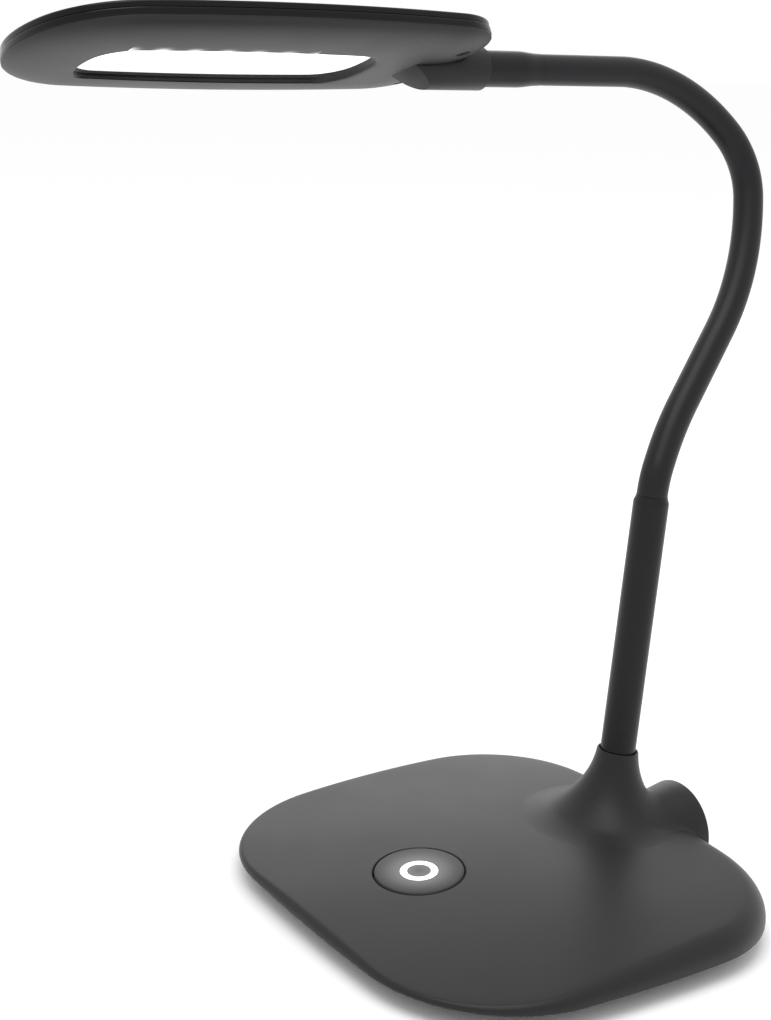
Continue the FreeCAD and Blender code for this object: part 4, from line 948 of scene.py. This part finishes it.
def tube_tree() -> tuple[bpy.types.NodeTree, dict[str, str]]:
    """Tree that runs a round tube along part of a curve.

    Returns:
        The tree and its inputs' identifiers.
    """
    tree, keys, start, end = new_tree("tube_along_route", (
        ("From", "NodeSocketFloat"), ("To", "NodeSocketFloat"), ("Radius", "NodeSocketFloat"),
        ("Step", "NodeSocketFloat"), ("Finish", "NodeSocketMaterial")))
    part = add_node(tree, "GeometryNodeTrimCurve",
                    inputs={0: start.outputs["Geometry"], 2: start.outputs["From"], 3: start.outputs["To"]})
    spaced = add_node(tree, "GeometryNodeResampleCurve", {"mode": "LENGTH"},
                      {"Curve": part.outputs["Curve"], "Length": start.outputs["Step"]})
    section = add_node(tree, "GeometryNodeCurvePrimitiveCircle",
                       inputs={"Resolution": TUBE_SIDES, "Radius": start.outputs["Radius"]})
    tube = add_node(tree, "GeometryNodeCurveToMesh",
                    inputs={"Curve": spaced.outputs["Curve"], "Profile Curve": section.outputs["Curve"],
                            "Fill Caps": True})
    solid = add_node(tree, "GeometryNodeRealizeInstances", inputs={"Geometry": tube.outputs["Mesh"]})
    coated = add_node(tree, "GeometryNodeSetMaterial",
                      inputs={"Geometry": solid.outputs["Geometry"], "Material": start.outputs["Finish"]})
    tree.links.new(coated.outputs["Geometry"], end.inputs["Geometry"])
    return tree, keys


# Neck


@dataclass
class NeckRoute:
    """Middle line of the neck: straight runs joined by tangent arcs."""

    root: tuple[float, float, float] = (0.0, 58.3, 20.8)
    lean: float = 4.9
    tilt: float = 17.5
    first_bend: float = 158.5
    runs: tuple[tuple[float, float], ...] = ((22.6, 32.0), (80.7, 41.9), (48.2, 11.8), (48.9, -41.0),
                                             (101.2, -90.0))
    radii: tuple[float, ...] = (22.0, 150.0, 114.0, 32.6, 69.0)
    pieces: list[tuple[Any, ...]] = field(init=False, default_factory=list)
    length: float = field(init=False, default=0.0)
    tip: Vector = field(init=False)

    def __post_init__(self) -> None:
        """Lay out the runs and the arcs between them."""
        lean = math.radians(self.lean)
        rise = Vector((0, math.sin(lean), math.cos(lean)))
        start = Vector(self.root)
        corners = [start, start + rise * ((self.first_bend - start.z) / rise.z)]
        plane = Matrix.Rotation(-math.radians(self.tilt), 3, "Y")
        for run, angle in self.runs:
            turn = math.radians(angle)
            corners.append(corners[-1] + plane @ Vector((0, math.sin(turn), math.cos(turn))) * run)
        self.tip = corners[-1]
        begin = corners[0]
        for index, radius in enumerate(self.radii, start=1):
            before = (corners[index] - corners[index - 1]).normalized()
            after = (corners[index + 1] - corners[index]).normalized()
            turn = before.angle(after)
            back = radius * math.tan(turn / 2)
            axis = before.cross(after).normalized()
            tangent = corners[index] - before * back
            self.pieces.append((begin, before, (tangent - begin).length, None, None, 0.0))
            self.pieces.append((tangent, before, radius * turn, tangent + axis.cross(before) * radius, axis,
                                radius))
            begin = corners[index] + after * back
        last = corners[-1] - begin
        self.pieces.append((begin, last.normalized(), last.length, None, None, 0.0))
        self.length = sum(piece[2] for piece in self.pieces)

    def at(self, distance: float) -> Vector:
        """Point of the route.

        Args:
            distance: millimetres from the root.

        Returns:
            The point in millimetres.
        """
        rest = distance
        for piece in self.pieces:
            if rest <= piece[2] or piece is self.pieces[-1]:
                break
            rest -= piece[2]
        begin, heading, _, centre, axis, radius = piece
        if centre is None:
            return begin + heading * rest
        return centre + Quaternion(axis, rest / radius) @ (begin - centre)


@dataclass
class Neck:
    """Bending neck: two lacquered sleeves and six lengths of silicone skin."""

    route: NeckRoute
    stem: Matrix
    sleeve_radius: float = 6.95
    skin_radius: float = 6.05
    taper_gap: float = 0.12
    edge: float = 0.3
    lower_start: float = 0.5
    lower_length: float = 131.77
    lower_taper: float = 3.0
    upper_length: float = 28.0
    upper_taper: float = 11.0
    joints: int = 6
    bend_reach: float = 13.0
    bore: float = 4.5
    route_steps: int = 900
    skin_step: float = 1.1

    def skins(self) -> None:
        """Make each length of skin along the neck's route, from the root up."""
        spline = bpy.data.curves.new("neck_route", "CURVE")
        spline.dimensions = "3D"
        line = spline.splines.new("POLY")
        line.points.add(self.route_steps)
        for index, point in enumerate(line.points):
            point.co = (*(self.route.at(self.route.length * index / self.route_steps) * MM), 1.0)
        tree, keys = tube_tree()
        end = self.route.length - self.upper_length
        step = (end - self.lower_length) / self.joints
        for index in range(self.joints):
            low = self.lower_length + step * index
            middle = low + step / 2
            source = placed(f"skin_source_{index + 1}", spline)
            values = {keys["From"]: low / self.route.length, keys["To"]: (low + step) / self.route.length,
                      keys["Radius"]: self.skin_radius * MM, keys["Step"]: self.skin_step * MM,
                      keys["Finish"]: material_of(SILICONE)}
            piece = grown(f"neck_skin_{index + 1}_dressed", source, tree, values, SILICONE, 50)
            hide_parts(f"neck_skin_{index + 1}")
            start = self.route.at(middle - self.bend_reach) * MM
            finish = self.route.at(middle + self.bend_reach) * MM
            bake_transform(piece)

    def taper(self, end: float, length: float, steps: int) -> list[tuple[float, float]]:
        """Profile of a sleeve's end where it narrows to the skin.

        Args:
            end: height of that end.
            length: height over the end at which the taper starts.
            steps: how many points.

        Returns:
            Radius and height pairs, the end last, then the end's bore.
        """
        drop = self.sleeve_radius - self.skin_radius - self.taper_gap
        points = [(self.sleeve_radius - drop * (1 - math.cos(step / steps * math.pi)) / 2,
                   end + length * (1 - step / steps)) for step in range(1, steps + 1)]
        return points + [(self.bore, end)]

    def sleeves(self) -> None:
        """Make the two sleeves with their tapered ends."""
        radius = self.sleeve_radius
        low = [(self.bore, self.lower_start), (radius, self.lower_start),
               (radius, self.lower_length - self.lower_taper),
               *self.taper(self.lower_length, -self.lower_taper, 8)]
        high = [(self.bore, 0.0), (radius - self.edge, 0.0), (radius, -self.edge),
                (radius, self.upper_taper - self.upper_length),
                *self.taper(-self.upper_length, self.upper_taper, 12)]
        tip = Matrix.Translation(self.route.tip) @ Matrix.Rotation(math.pi / 2, 4, "X")
        for node, profile, axis, body in (("lower_sleeve", low, self.stem, "base"),
                                          ("upper_sleeve", high, tip, "neck_6")):
            sleeve = turned(f"{node}_dressed", profile, axis, LACQUERED_STEEL, steps=72, cyclic=True)
            dressed(sleeve, node, body)

    def dress(self) -> None:
        """Build the neck's pieces."""
        self.skins()
        self.sleeves()


# Button


@dataclass
class Button:
    """Round push button with its lit ring."""

    base: Base
    radius: float = 17.0
    thickness: float = 2.2
    skirt: float = 3.7
    skirt_wall: float = 1.6
    ring_outer: float = 7.2
    ring_inner: float = 4.55
    ring_slip: float = 0.04
    ring_depth: float = 1.2
    sink: float = 0.02
    bevel: float = 0.1
    ring_bevel: tuple[float, float] = (0.15, 0.12)
    halo: float = 7.0
    halo_level: float = 0.18

    @property
    def frame(self) -> Matrix:
        """Frame square on the cover's top at the button."""
        span = (self.base.width + self.base.depth) / 4
        reach = self.base.button_y / span
        slope = math.radians(self.base.top_slope) - 2 * self.base.crown * reach / span
        height = (self.base.top + self.base.button_y * math.tan(math.radians(self.base.top_slope))
                  - self.base.crown * reach ** 2)
        return Matrix.Translation((0, self.base.button_y, height)) @ Matrix.Rotation(slope, 4, "X")

    def dress(self) -> None:
        """Build the cap with its dished face, and the ring."""
        outer = self.ring_outer + self.ring_slip
        inner = self.ring_inner - self.ring_slip
        cap = [(0, -self.sink), (inner - self.bevel, -self.sink), (inner, -self.bevel),
               (inner, -self.ring_depth), (outer, -self.ring_depth), (outer, -self.bevel),
               (outer + self.bevel, -self.sink), (self.radius - 0.9, 0.0),
               (self.radius - 0.45, -0.06), (self.radius - 0.12, -0.25), (self.radius, -0.55),
               (self.radius, -self.skirt), (self.radius - self.skirt_wall, -self.skirt),
               (self.radius - self.skirt_wall, -self.thickness), (0, -self.thickness)]
        face = turned("button_cap_dressed", cap, self.frame, BUTTON_TOUCH, steps=128)
        dressed(face, "button_cap", "button")
        inset, drop = self.ring_bevel
        ring = [(self.ring_inner, -self.ring_depth), (self.ring_inner, -drop),
                (self.ring_inner + inset, -self.sink), (self.ring_outer - inset, -self.sink),
                (self.ring_outer, -drop), (self.ring_outer, -self.ring_depth)]
        lit = turned("button_ring_dressed", ring, self.frame, OPAL_ACRYLIC, steps=96, cyclic=True)
        dressed(lit, "button_light_ring", "button")

    def light_halo(self) -> None:
        """Paint the lit ring's soft halo onto the button's face as emission: a painted glow, since the face
        itself is no lamp.
        """
        material = material_of(BUTTON_TOUCH)
        place = add_node(material.node_tree, "ShaderNodeTexCoord")
        centre = tuple(self.frame.translation * MM)
        reach = add_node(material.node_tree, "ShaderNodeVectorMath", {"operation": "DISTANCE"},
                         {0: place.outputs["Object"], 1: centre})
        # Painted glow: emission on the cap's face stands in for light spilling from the ring.
        add_glow(material, {"reach": reach.outputs["Value"]}, (
            ("offset", "SUBTRACT", "reach", (self.ring_outer + self.ring_inner) / 2 * MM),
            ("share", "DIVIDE", "offset", self.halo * MM),
            ("square", "MULTIPLY", "share", "share"),
            ("negative", "MULTIPLY", "square", -1.0),
            ("fall", "EXPONENT", "negative", 0.0),
            ("glow", "MULTIPLY", "fall", self.halo_level)))


# Head


@dataclass
class Head:
    """Thin lamp head: curved underside, gloss rim, top cover, window and lights."""

    tip: Vector
    roll: float = 15.9
    length: float = 179.0
    width: float = 88.5
    rear: float = -10.0
    rim_base: float = 4.0
    rim_height: float = 2.4
    cover_height: float = 2.6
    cover_inset: float = 0.35
    cover_round: float = 1.1
    belly: float = 5.4
    margin: float = 22.5
    wall: float = 1.8
    rim_wall: float = 2.0
    rim_roll: tuple[tuple[float, float], ...] = ((0.5, 0.0), (0.2, 0.08), (0.03, 0.3), (0.0, 0.7))
    cover_gap: tuple[float, float] = (1.0, 0.2)
    cover_wall: float = 1.3
    cover_overlap: float = 3.3
    lip: float = 0.9
    lip_wall: float = 1.4
    shell_slip: float = 0.3
    shell_rise: float = 0.4
    ceiling_drop: float = 0.2
    panel_overlap: float = 4.0
    panel_thickness: float = 1.0
    window_depth: float = 3.4
    window_shift: float = -8.1
    screw_x: float = 21.0
    screw_y: float = -22.7
    screw_recess: float = 2.6
    screw_sink: float = 1.8
    screw_flare: tuple[float, float] = (0.35, 1.2)
    light_pitch: float = 12.0
    light_count: int = 6
    light_shift: float = -12.0
    glow_reach: float = 2.2
    glow_spread: float = 2.6
    glow_level: float = 0.9
    plan: Plan = field(init=False)
    window: Plan = field(init=False)

    def __post_init__(self) -> None:
        """Work out the outlines."""
        middle = self.rear - self.length / 2
        self.plan = Plan(self.width / 2, 560.0, (self.length / 2, 240.0, 26.0), (self.length / 2, 60.0, 34.0),
                         centre=middle, side_steps=36)
        end = (56.2, 45.0, 14.0)
        self.window = Plan(20.3, 600.0, end, end, across=-2.0, centre=middle + self.window_shift, side_steps=36)

    @property
    def frame(self) -> Matrix:
        """Frame of the head at the neck's end."""
        return Matrix.Translation(self.tip) @ Matrix.Rotation(-math.radians(self.roll), 4, "Y")

    def raised(self, loop: Sequence[Vector], height: float) -> list[Vector]:
        """Lift a flat loop to a height in the head's frame."""
        frame = self.frame
        return [frame @ Vector((point.x, point.y, height)) for point in loop]

    def shell(self) -> bpy.types.Object:
        """Make the curved underside with the window's lip and the screw recesses."""
        low = self.rim_base - self.belly
        top = low + self.window_depth
        ceiling = low + self.wall
        rings = [self.raised(self.plan.loop(self.wall), self.rim_base + self.shell_rise),
                 self.raised(self.plan.loop(self.shell_slip), self.rim_base)]
        for turn in map(math.radians, (*range(8, 81, 8), 86, 90)):
            rings.append(self.raised(self.plan.loop(self.margin * (1 - math.cos(turn))),
                                     self.rim_base - self.belly * math.sin(turn)))
        edge = self.plan.loop(self.margin)
        mouth = self.window.loop(-self.lip)
        for step in range(1, 7):
            rings.append(self.raised([a.lerp(b, step / 6) for a, b in zip(edge, mouth)], low))
        for turn in quarter(3):
            rings.append(self.raised(self.window.loop(-self.lip * (1 - math.sin(turn))),
                                     low + self.lip * (1 - math.cos(turn))))
        rings.append(self.raised(self.window.loop(), top))
        outer_lip = self.window.loop(-self.lip_wall)
        rings += [self.raised(outer_lip, top), self.raised(outer_lip, ceiling)]
        inner = self.plan.loop(self.margin + 1.0)
        for step in (2, 4, 6):
            rings.append(self.raised([a.lerp(b, step / 6) for a, b in zip(outer_lip, inner)], ceiling))
        for turn in map(math.radians, (66, 44, 22)):
            height = self.rim_base + self.wall - self.belly * math.sin(turn) - self.ceiling_drop
            rings.append(self.raised(self.plan.loop(self.wall + self.margin * (1 - math.cos(turn))), height))
        shell = finished("head_underside", ring_mesh("head_underside", rings, cyclic=True), FINE_ABS, 40)
        seat = low + self.screw_sink
        flare, flare_depth = self.screw_flare
        recess = [(0, low - 3), (self.screw_recess + flare, low - 3), (self.screw_recess, seat - flare_depth),
                  (self.screw_recess, seat + 5), (0, seat + 5)]
        for side in (-1, 1):
            spot = Matrix.Translation((side * self.screw_x, self.screw_y, 0))
            carve(shell, turned("recess_cutter", recess, self.frame @ spot, FINE_ABS, steps=48))
        return shell

    def rim(self) -> bpy.types.Object:
        """Make the gloss frame round the head, its edges rolled."""
        low = self.rim_base
        high = low + self.rim_height
        profile = [(self.rim_wall, low), *((inset, low + rise) for inset, rise in self.rim_roll),
                   *((inset, high - rise) for inset, rise in reversed(self.rim_roll)), (self.rim_wall, high)]
        rings = [self.raised(self.plan.loop(inset), height) for inset, height in profile]
        return finished("head_rim_dressed", ring_mesh("head_rim_dressed", rings, cyclic=True), PIANO_BLACK, 50)

    def cover(self) -> bpy.types.Object:
        """Make the top cover with its rolled edge and the shadow gap under it."""
        low = self.rim_base + self.rim_height
        top = low + self.cover_height
        gap_depth, gap = self.cover_gap
        profile = [(gap_depth, low), (gap_depth, low + gap), (self.cover_inset, low + gap),
                   (self.cover_inset, top - self.cover_round)]
        profile += [(self.cover_inset + self.cover_round * (1 - math.cos(turn)),
                     top - self.cover_round * (1 - math.sin(turn))) for turn in quarter(6)]
        rings = [self.raised(self.plan.loop(inset), height) for inset, height in profile]
        centre = self.frame @ Vector((0, self.plan.centre, top))
        last = rings[-1]
        for share in (0.25, 0.5, 0.75, 0.92):
            rings.append([point.lerp(centre, share) for point in last])
        rings.append([centre])
        under = self.frame @ Vector((0, self.plan.centre, top - self.cover_wall))
        inner = self.plan.loop(self.cover_overlap)
        upper = self.raised(inner, top - self.cover_wall)
        rings = [[under], [under.lerp(point, 0.5) for point in upper], upper, self.raised(inner, low)] + rings
        return finished("head_cover_dressed", ring_mesh("head_cover_dressed", rings), PIANO_BLACK, 40)

    def diffuser(self) -> bpy.types.Object:
        """Make the opal panel behind the window."""
        low = self.rim_base - self.belly + self.window_depth
        high = low + self.panel_thickness
        outline = self.window.loop(-self.panel_overlap)
        edge = self.raised(outline, low)
        below, above = (self.frame @ Vector((self.window.across, self.window.centre, height))
                        for height in (low, high))
        rings = [[below], *([below.lerp(point, share) for point in edge] for share in (0.3, 0.6, 0.85, 1.0)),
                 self.raised(outline, high), [above]]
        return finished("light_panel", ring_mesh("light_panel", rings), OPAL_ACRYLIC, 50)

    def dress(self) -> None:
        """Build the head's pieces and let them ride."""
        for piece, node, slot in ((self.shell(), "head_shell", "grey_plastic"),
                                  (self.rim(), "head_rim", "gloss_black"),
                                  (self.cover(), "head_cover", "gloss_black"),
                                  (self.diffuser(), "light_diffuser", "light_white")):
            dressed(piece, node, "head")

    def light_lip(self) -> None:
        """Paint the lights' glow onto the shell as soft emitting spots beside the window's near edge: painted
        light, since the shell is no lamp.
        """
        material = material_of(FINE_ABS)
        tree = material.node_tree
        place = add_node(tree, "ShaderNodeTexCoord")
        moved = add_node(tree, "ShaderNodeVectorMath", {"operation": "SUBTRACT"},
                         {0: place.outputs["Object"], 1: tuple(self.tip * MM)})
        level = add_node(tree, "ShaderNodeVectorRotate", {"rotation_type": "Y_AXIS"},
                         {"Vector": moved.outputs[0], "Angle": math.radians(self.roll)})
        axes = add_node(tree, "ShaderNodeSeparateXYZ", inputs={0: level.outputs[0]})
        pitch = self.light_pitch * MM
        # Painted glow: emission spots on the shell stand in for the LEDs' light spilling over the lip.
        add_glow(material, {"x": axes.outputs[0], "y": axes.outputs[1]}, (
            ("along", "SUBTRACT", "y", (self.window.centre + self.light_shift) * MM),
            ("near", "PINGPONG", "along", pitch / 2),
            ("beyond", "SUBTRACT", "x", (self.window.across + self.window.half_width) * MM),
            ("across", "DIVIDE", "beyond", self.glow_reach * MM),
            ("spread", "DIVIDE", "near", self.glow_spread * MM),
            ("across_square", "MULTIPLY", "across", "across"),
            ("spread_square", "MULTIPLY", "spread", "spread"),
            ("square", "ADD", "across_square", "spread_square"),
            ("negative", "MULTIPLY", "square", -1.0),
            ("fall", "EXPONENT", "negative", 0.0),
            ("distance", "ABSOLUTE", "along", 0.0),
            ("beside", "LESS_THAN", "distance", pitch * self.light_count / 2),
            ("spots", "MULTIPLY", "fall", "beside"),
            ("glow", "MULTIPLY", "spots", self.glow_level)))


def carve(piece: bpy.types.Object, cutter: bpy.types.Object) -> None:
    """Cut one piece's shape out of another and drop the cutter.

    Args:
        piece: the piece that is cut.
        cutter: the closed shape taken away.
    """
    modifier = piece.modifiers.new("cut", "BOOLEAN")
    modifier.operation = "DIFFERENCE"
    modifier.solver = "EXACT"
    modifier.object = cutter
    mesh = evaluated_mesh(piece)
    piece.modifiers.remove(modifier)
    old = piece.data
    piece.data = mesh
    name = old.name
    bpy.data.meshes.remove(old)
    mesh.name = name
    bpy.data.objects.remove(cutter)


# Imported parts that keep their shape


def dress_nodes(frame: dict[str, Any]) -> None:
    """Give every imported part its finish, its mesh left as it is.
    """
    slots = {entry["node"]: entry["material_slot"] for entry in frame["record"]["subparts"]}
    for name, node in frame["nodes"].items():
        node.data.materials.clear()
        node.data.materials.append(material_of(SLOT_FINISHES[slots[name]]))
        LOG.info("%s keeps its shape", name)


def softened(node: bpy.types.Object, finish: Finish, width: float) -> bpy.types.Object:
    """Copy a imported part's mesh, merge its triangles and round its edges.

    Args:
        node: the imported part, left as it is.
        finish: the copy's material.
        width: how wide its edges are rounded, in millimetres.

    Returns:
        The copy, at the origin.
    """
    build = bmesh.new()
    build.from_mesh(node.data)
    bmesh.ops.remove_doubles(build, verts=build.verts, dist=0.002 * MM)
    bmesh.ops.dissolve_limit(build, angle_limit=math.radians(0.4), verts=build.verts, edges=build.edges)
    merged = bpy.data.meshes.new(f"{node.name}_merged")
    build.to_mesh(merged)
    build.free()
    rough = placed(merged.name, merged)
    bevel = rough.modifiers.new("soft_edges", "BEVEL")
    bevel.width = width * MM
    bevel.segments = 3
    bevel.limit_method = "ANGLE"
    bevel.angle_limit = math.radians(30)
    mesh = evaluated_mesh(rough)
    mesh.name = f"{node.name}_dressed"
    bpy.data.objects.remove(rough)
    bpy.data.meshes.remove(merged)
    return finished(mesh.name, mesh, finish, 40)


# Studio


@dataclass
class Studio:
    """Pale floor, soft lamps and the camera at the photograph's angle."""

    eye: tuple[float, float, float] = (497.93, -395.2, 318.55)
    right: tuple[float, float, float] = (0.50598, 0.86216, 0.02567)
    up: tuple[float, float, float] = (-0.18238, 0.07786, 0.98014)
    focal_px: float = 1750.0
    centre_px: tuple[float, float] = (283.04, 402.99)
    sensor: float = 36.0
    floor_half: float = 20000.0
    far: float = 100.0
    lamps: tuple[tuple[Any, ...], ...] = (
        ("back_panel", (-1.5, 0.9, 0.75), (0, 0, 0.02), 1.1, 4.0),
        ("top_panel", (0.2, -0.3, 1.7), (0, 0, 0.0), 1.2, 12.0))

    def camera(self) -> None:
        """Put the camera where the photograph was taken from."""
        data = bpy.data.cameras.new("photo_camera")
        longest = max(IMAGE_WIDTH, IMAGE_HEIGHT)
        data.sensor_width = self.sensor
        data.lens = self.focal_px / longest * self.sensor
        data.shift_x = (IMAGE_WIDTH / 2 - self.centre_px[0]) / longest
        data.shift_y = (self.centre_px[1] - IMAGE_HEIGHT / 2) / longest
        data.clip_end = self.far
        right = Vector(self.right).normalized()
        up = Vector(self.up)
        back = right.cross(up).normalized()
        up = back.cross(right)
        turn = Matrix((right, up, back)).transposed().to_4x4()
        camera = placed("photo_camera", data)
        camera.matrix_world = Matrix.Translation(Vector(self.eye) * MM) @ turn
        bpy.context.scene.camera = camera

    def lamp(self, name: str, place: Sequence[float], aim: Sequence[float], size: float, watts: float) -> None:
        """Add one soft area lamp.

        Args:
            name: the lamp's name.
            place: where it hangs, in metres.
            aim: what it points at, in metres.
            size: side of its square, in metres.
            watts: its power.
        """
        data = bpy.data.lights.new(name, "AREA")
        data.shape = "SQUARE"
        data.size = size
        data.energy = watts
        turn = (Vector(aim) - Vector(place)).to_track_quat("-Z", "Y").to_matrix().to_4x4()
        placed(name, data).matrix_world = Matrix.Translation(place) @ turn

    def world(self) -> None:
        """Light the room evenly and keep it white to the camera and in reflections."""
        world = bpy.data.worlds.new("white_room")
        world.use_nodes = True
        tree = world.node_tree
        tree.nodes.clear()
        path = add_node(tree, "ShaderNodeLightPath")
        seen = path.outputs["Is Camera Ray"]
        for ray in ("Is Transmission Ray", "Is Glossy Ray"):
            seen = add_node(tree, "ShaderNodeMath", {"operation": "MAXIMUM"},
                            {0: seen, 1: path.outputs[ray]}).outputs[0]
        room, white = (add_node(tree, "ShaderNodeBackground", inputs={"Color": linear(WHITE), "Strength": 1.0})
                       for _ in range(2))
        both = add_node(tree, "ShaderNodeMixShader", inputs={0: seen, 1: room.outputs[0], 2: white.outputs[0]})
        add_node(tree, "ShaderNodeOutputWorld", inputs={"Surface": both.outputs[0]})
        bpy.context.scene.world = world

    def floor(self) -> None:
        """Lay the pale floor."""
        half = self.floor_half * MM
        mesh = bpy.data.meshes.new("floor")
        mesh.from_pydata([(-half, -half, 0), (half, -half, 0), (half, half, 0), (-half, half, 0)], [],
                         [(0, 1, 2, 3)])
        material = bpy.data.materials.new("white_paper_floor")
        material.use_nodes = True
        tree = material.node_tree
        tree.nodes.clear()
        paper = add_node(tree, "ShaderNodeBsdfDiffuse", inputs={"Color": linear("fdfdfd")})
        add_node(tree, "ShaderNodeOutputMaterial", inputs={"Surface": paper.outputs[0]})
        mesh.materials.append(material)
        placed("floor", mesh)

    def build(self) -> None:
        """Set up the room, the lamps and the camera."""
        bpy.context.scene.view_settings.view_transform = "Standard"
        self.world()
        self.floor()
        for name, place, aim, size, watts in self.lamps:
            self.lamp(name, place, aim, size, watts)
        self.camera()


def main() -> None:
    """Build the lamp's pieces in order and the studio round it."""
    logging.basicConfig(level=logging.INFO, format="%(name)s: %(message)s")
    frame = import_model()
    dress_nodes(frame)
    arm = softened(frame["nodes"]["arm_block"], ARM_TOUCH, ARM_EDGE)
    dressed(arm, "arm_block", "head")
    base = Base()
    base.dress()
    button = Button(base)
    button.dress()
    button.light_halo()
    route = NeckRoute()
    Neck(route, base.stem).dress()
    head = Head(route.tip)
    head.dress()
    head.light_lip()
    Studio().build()


if __name__ == "__main__":
    main()
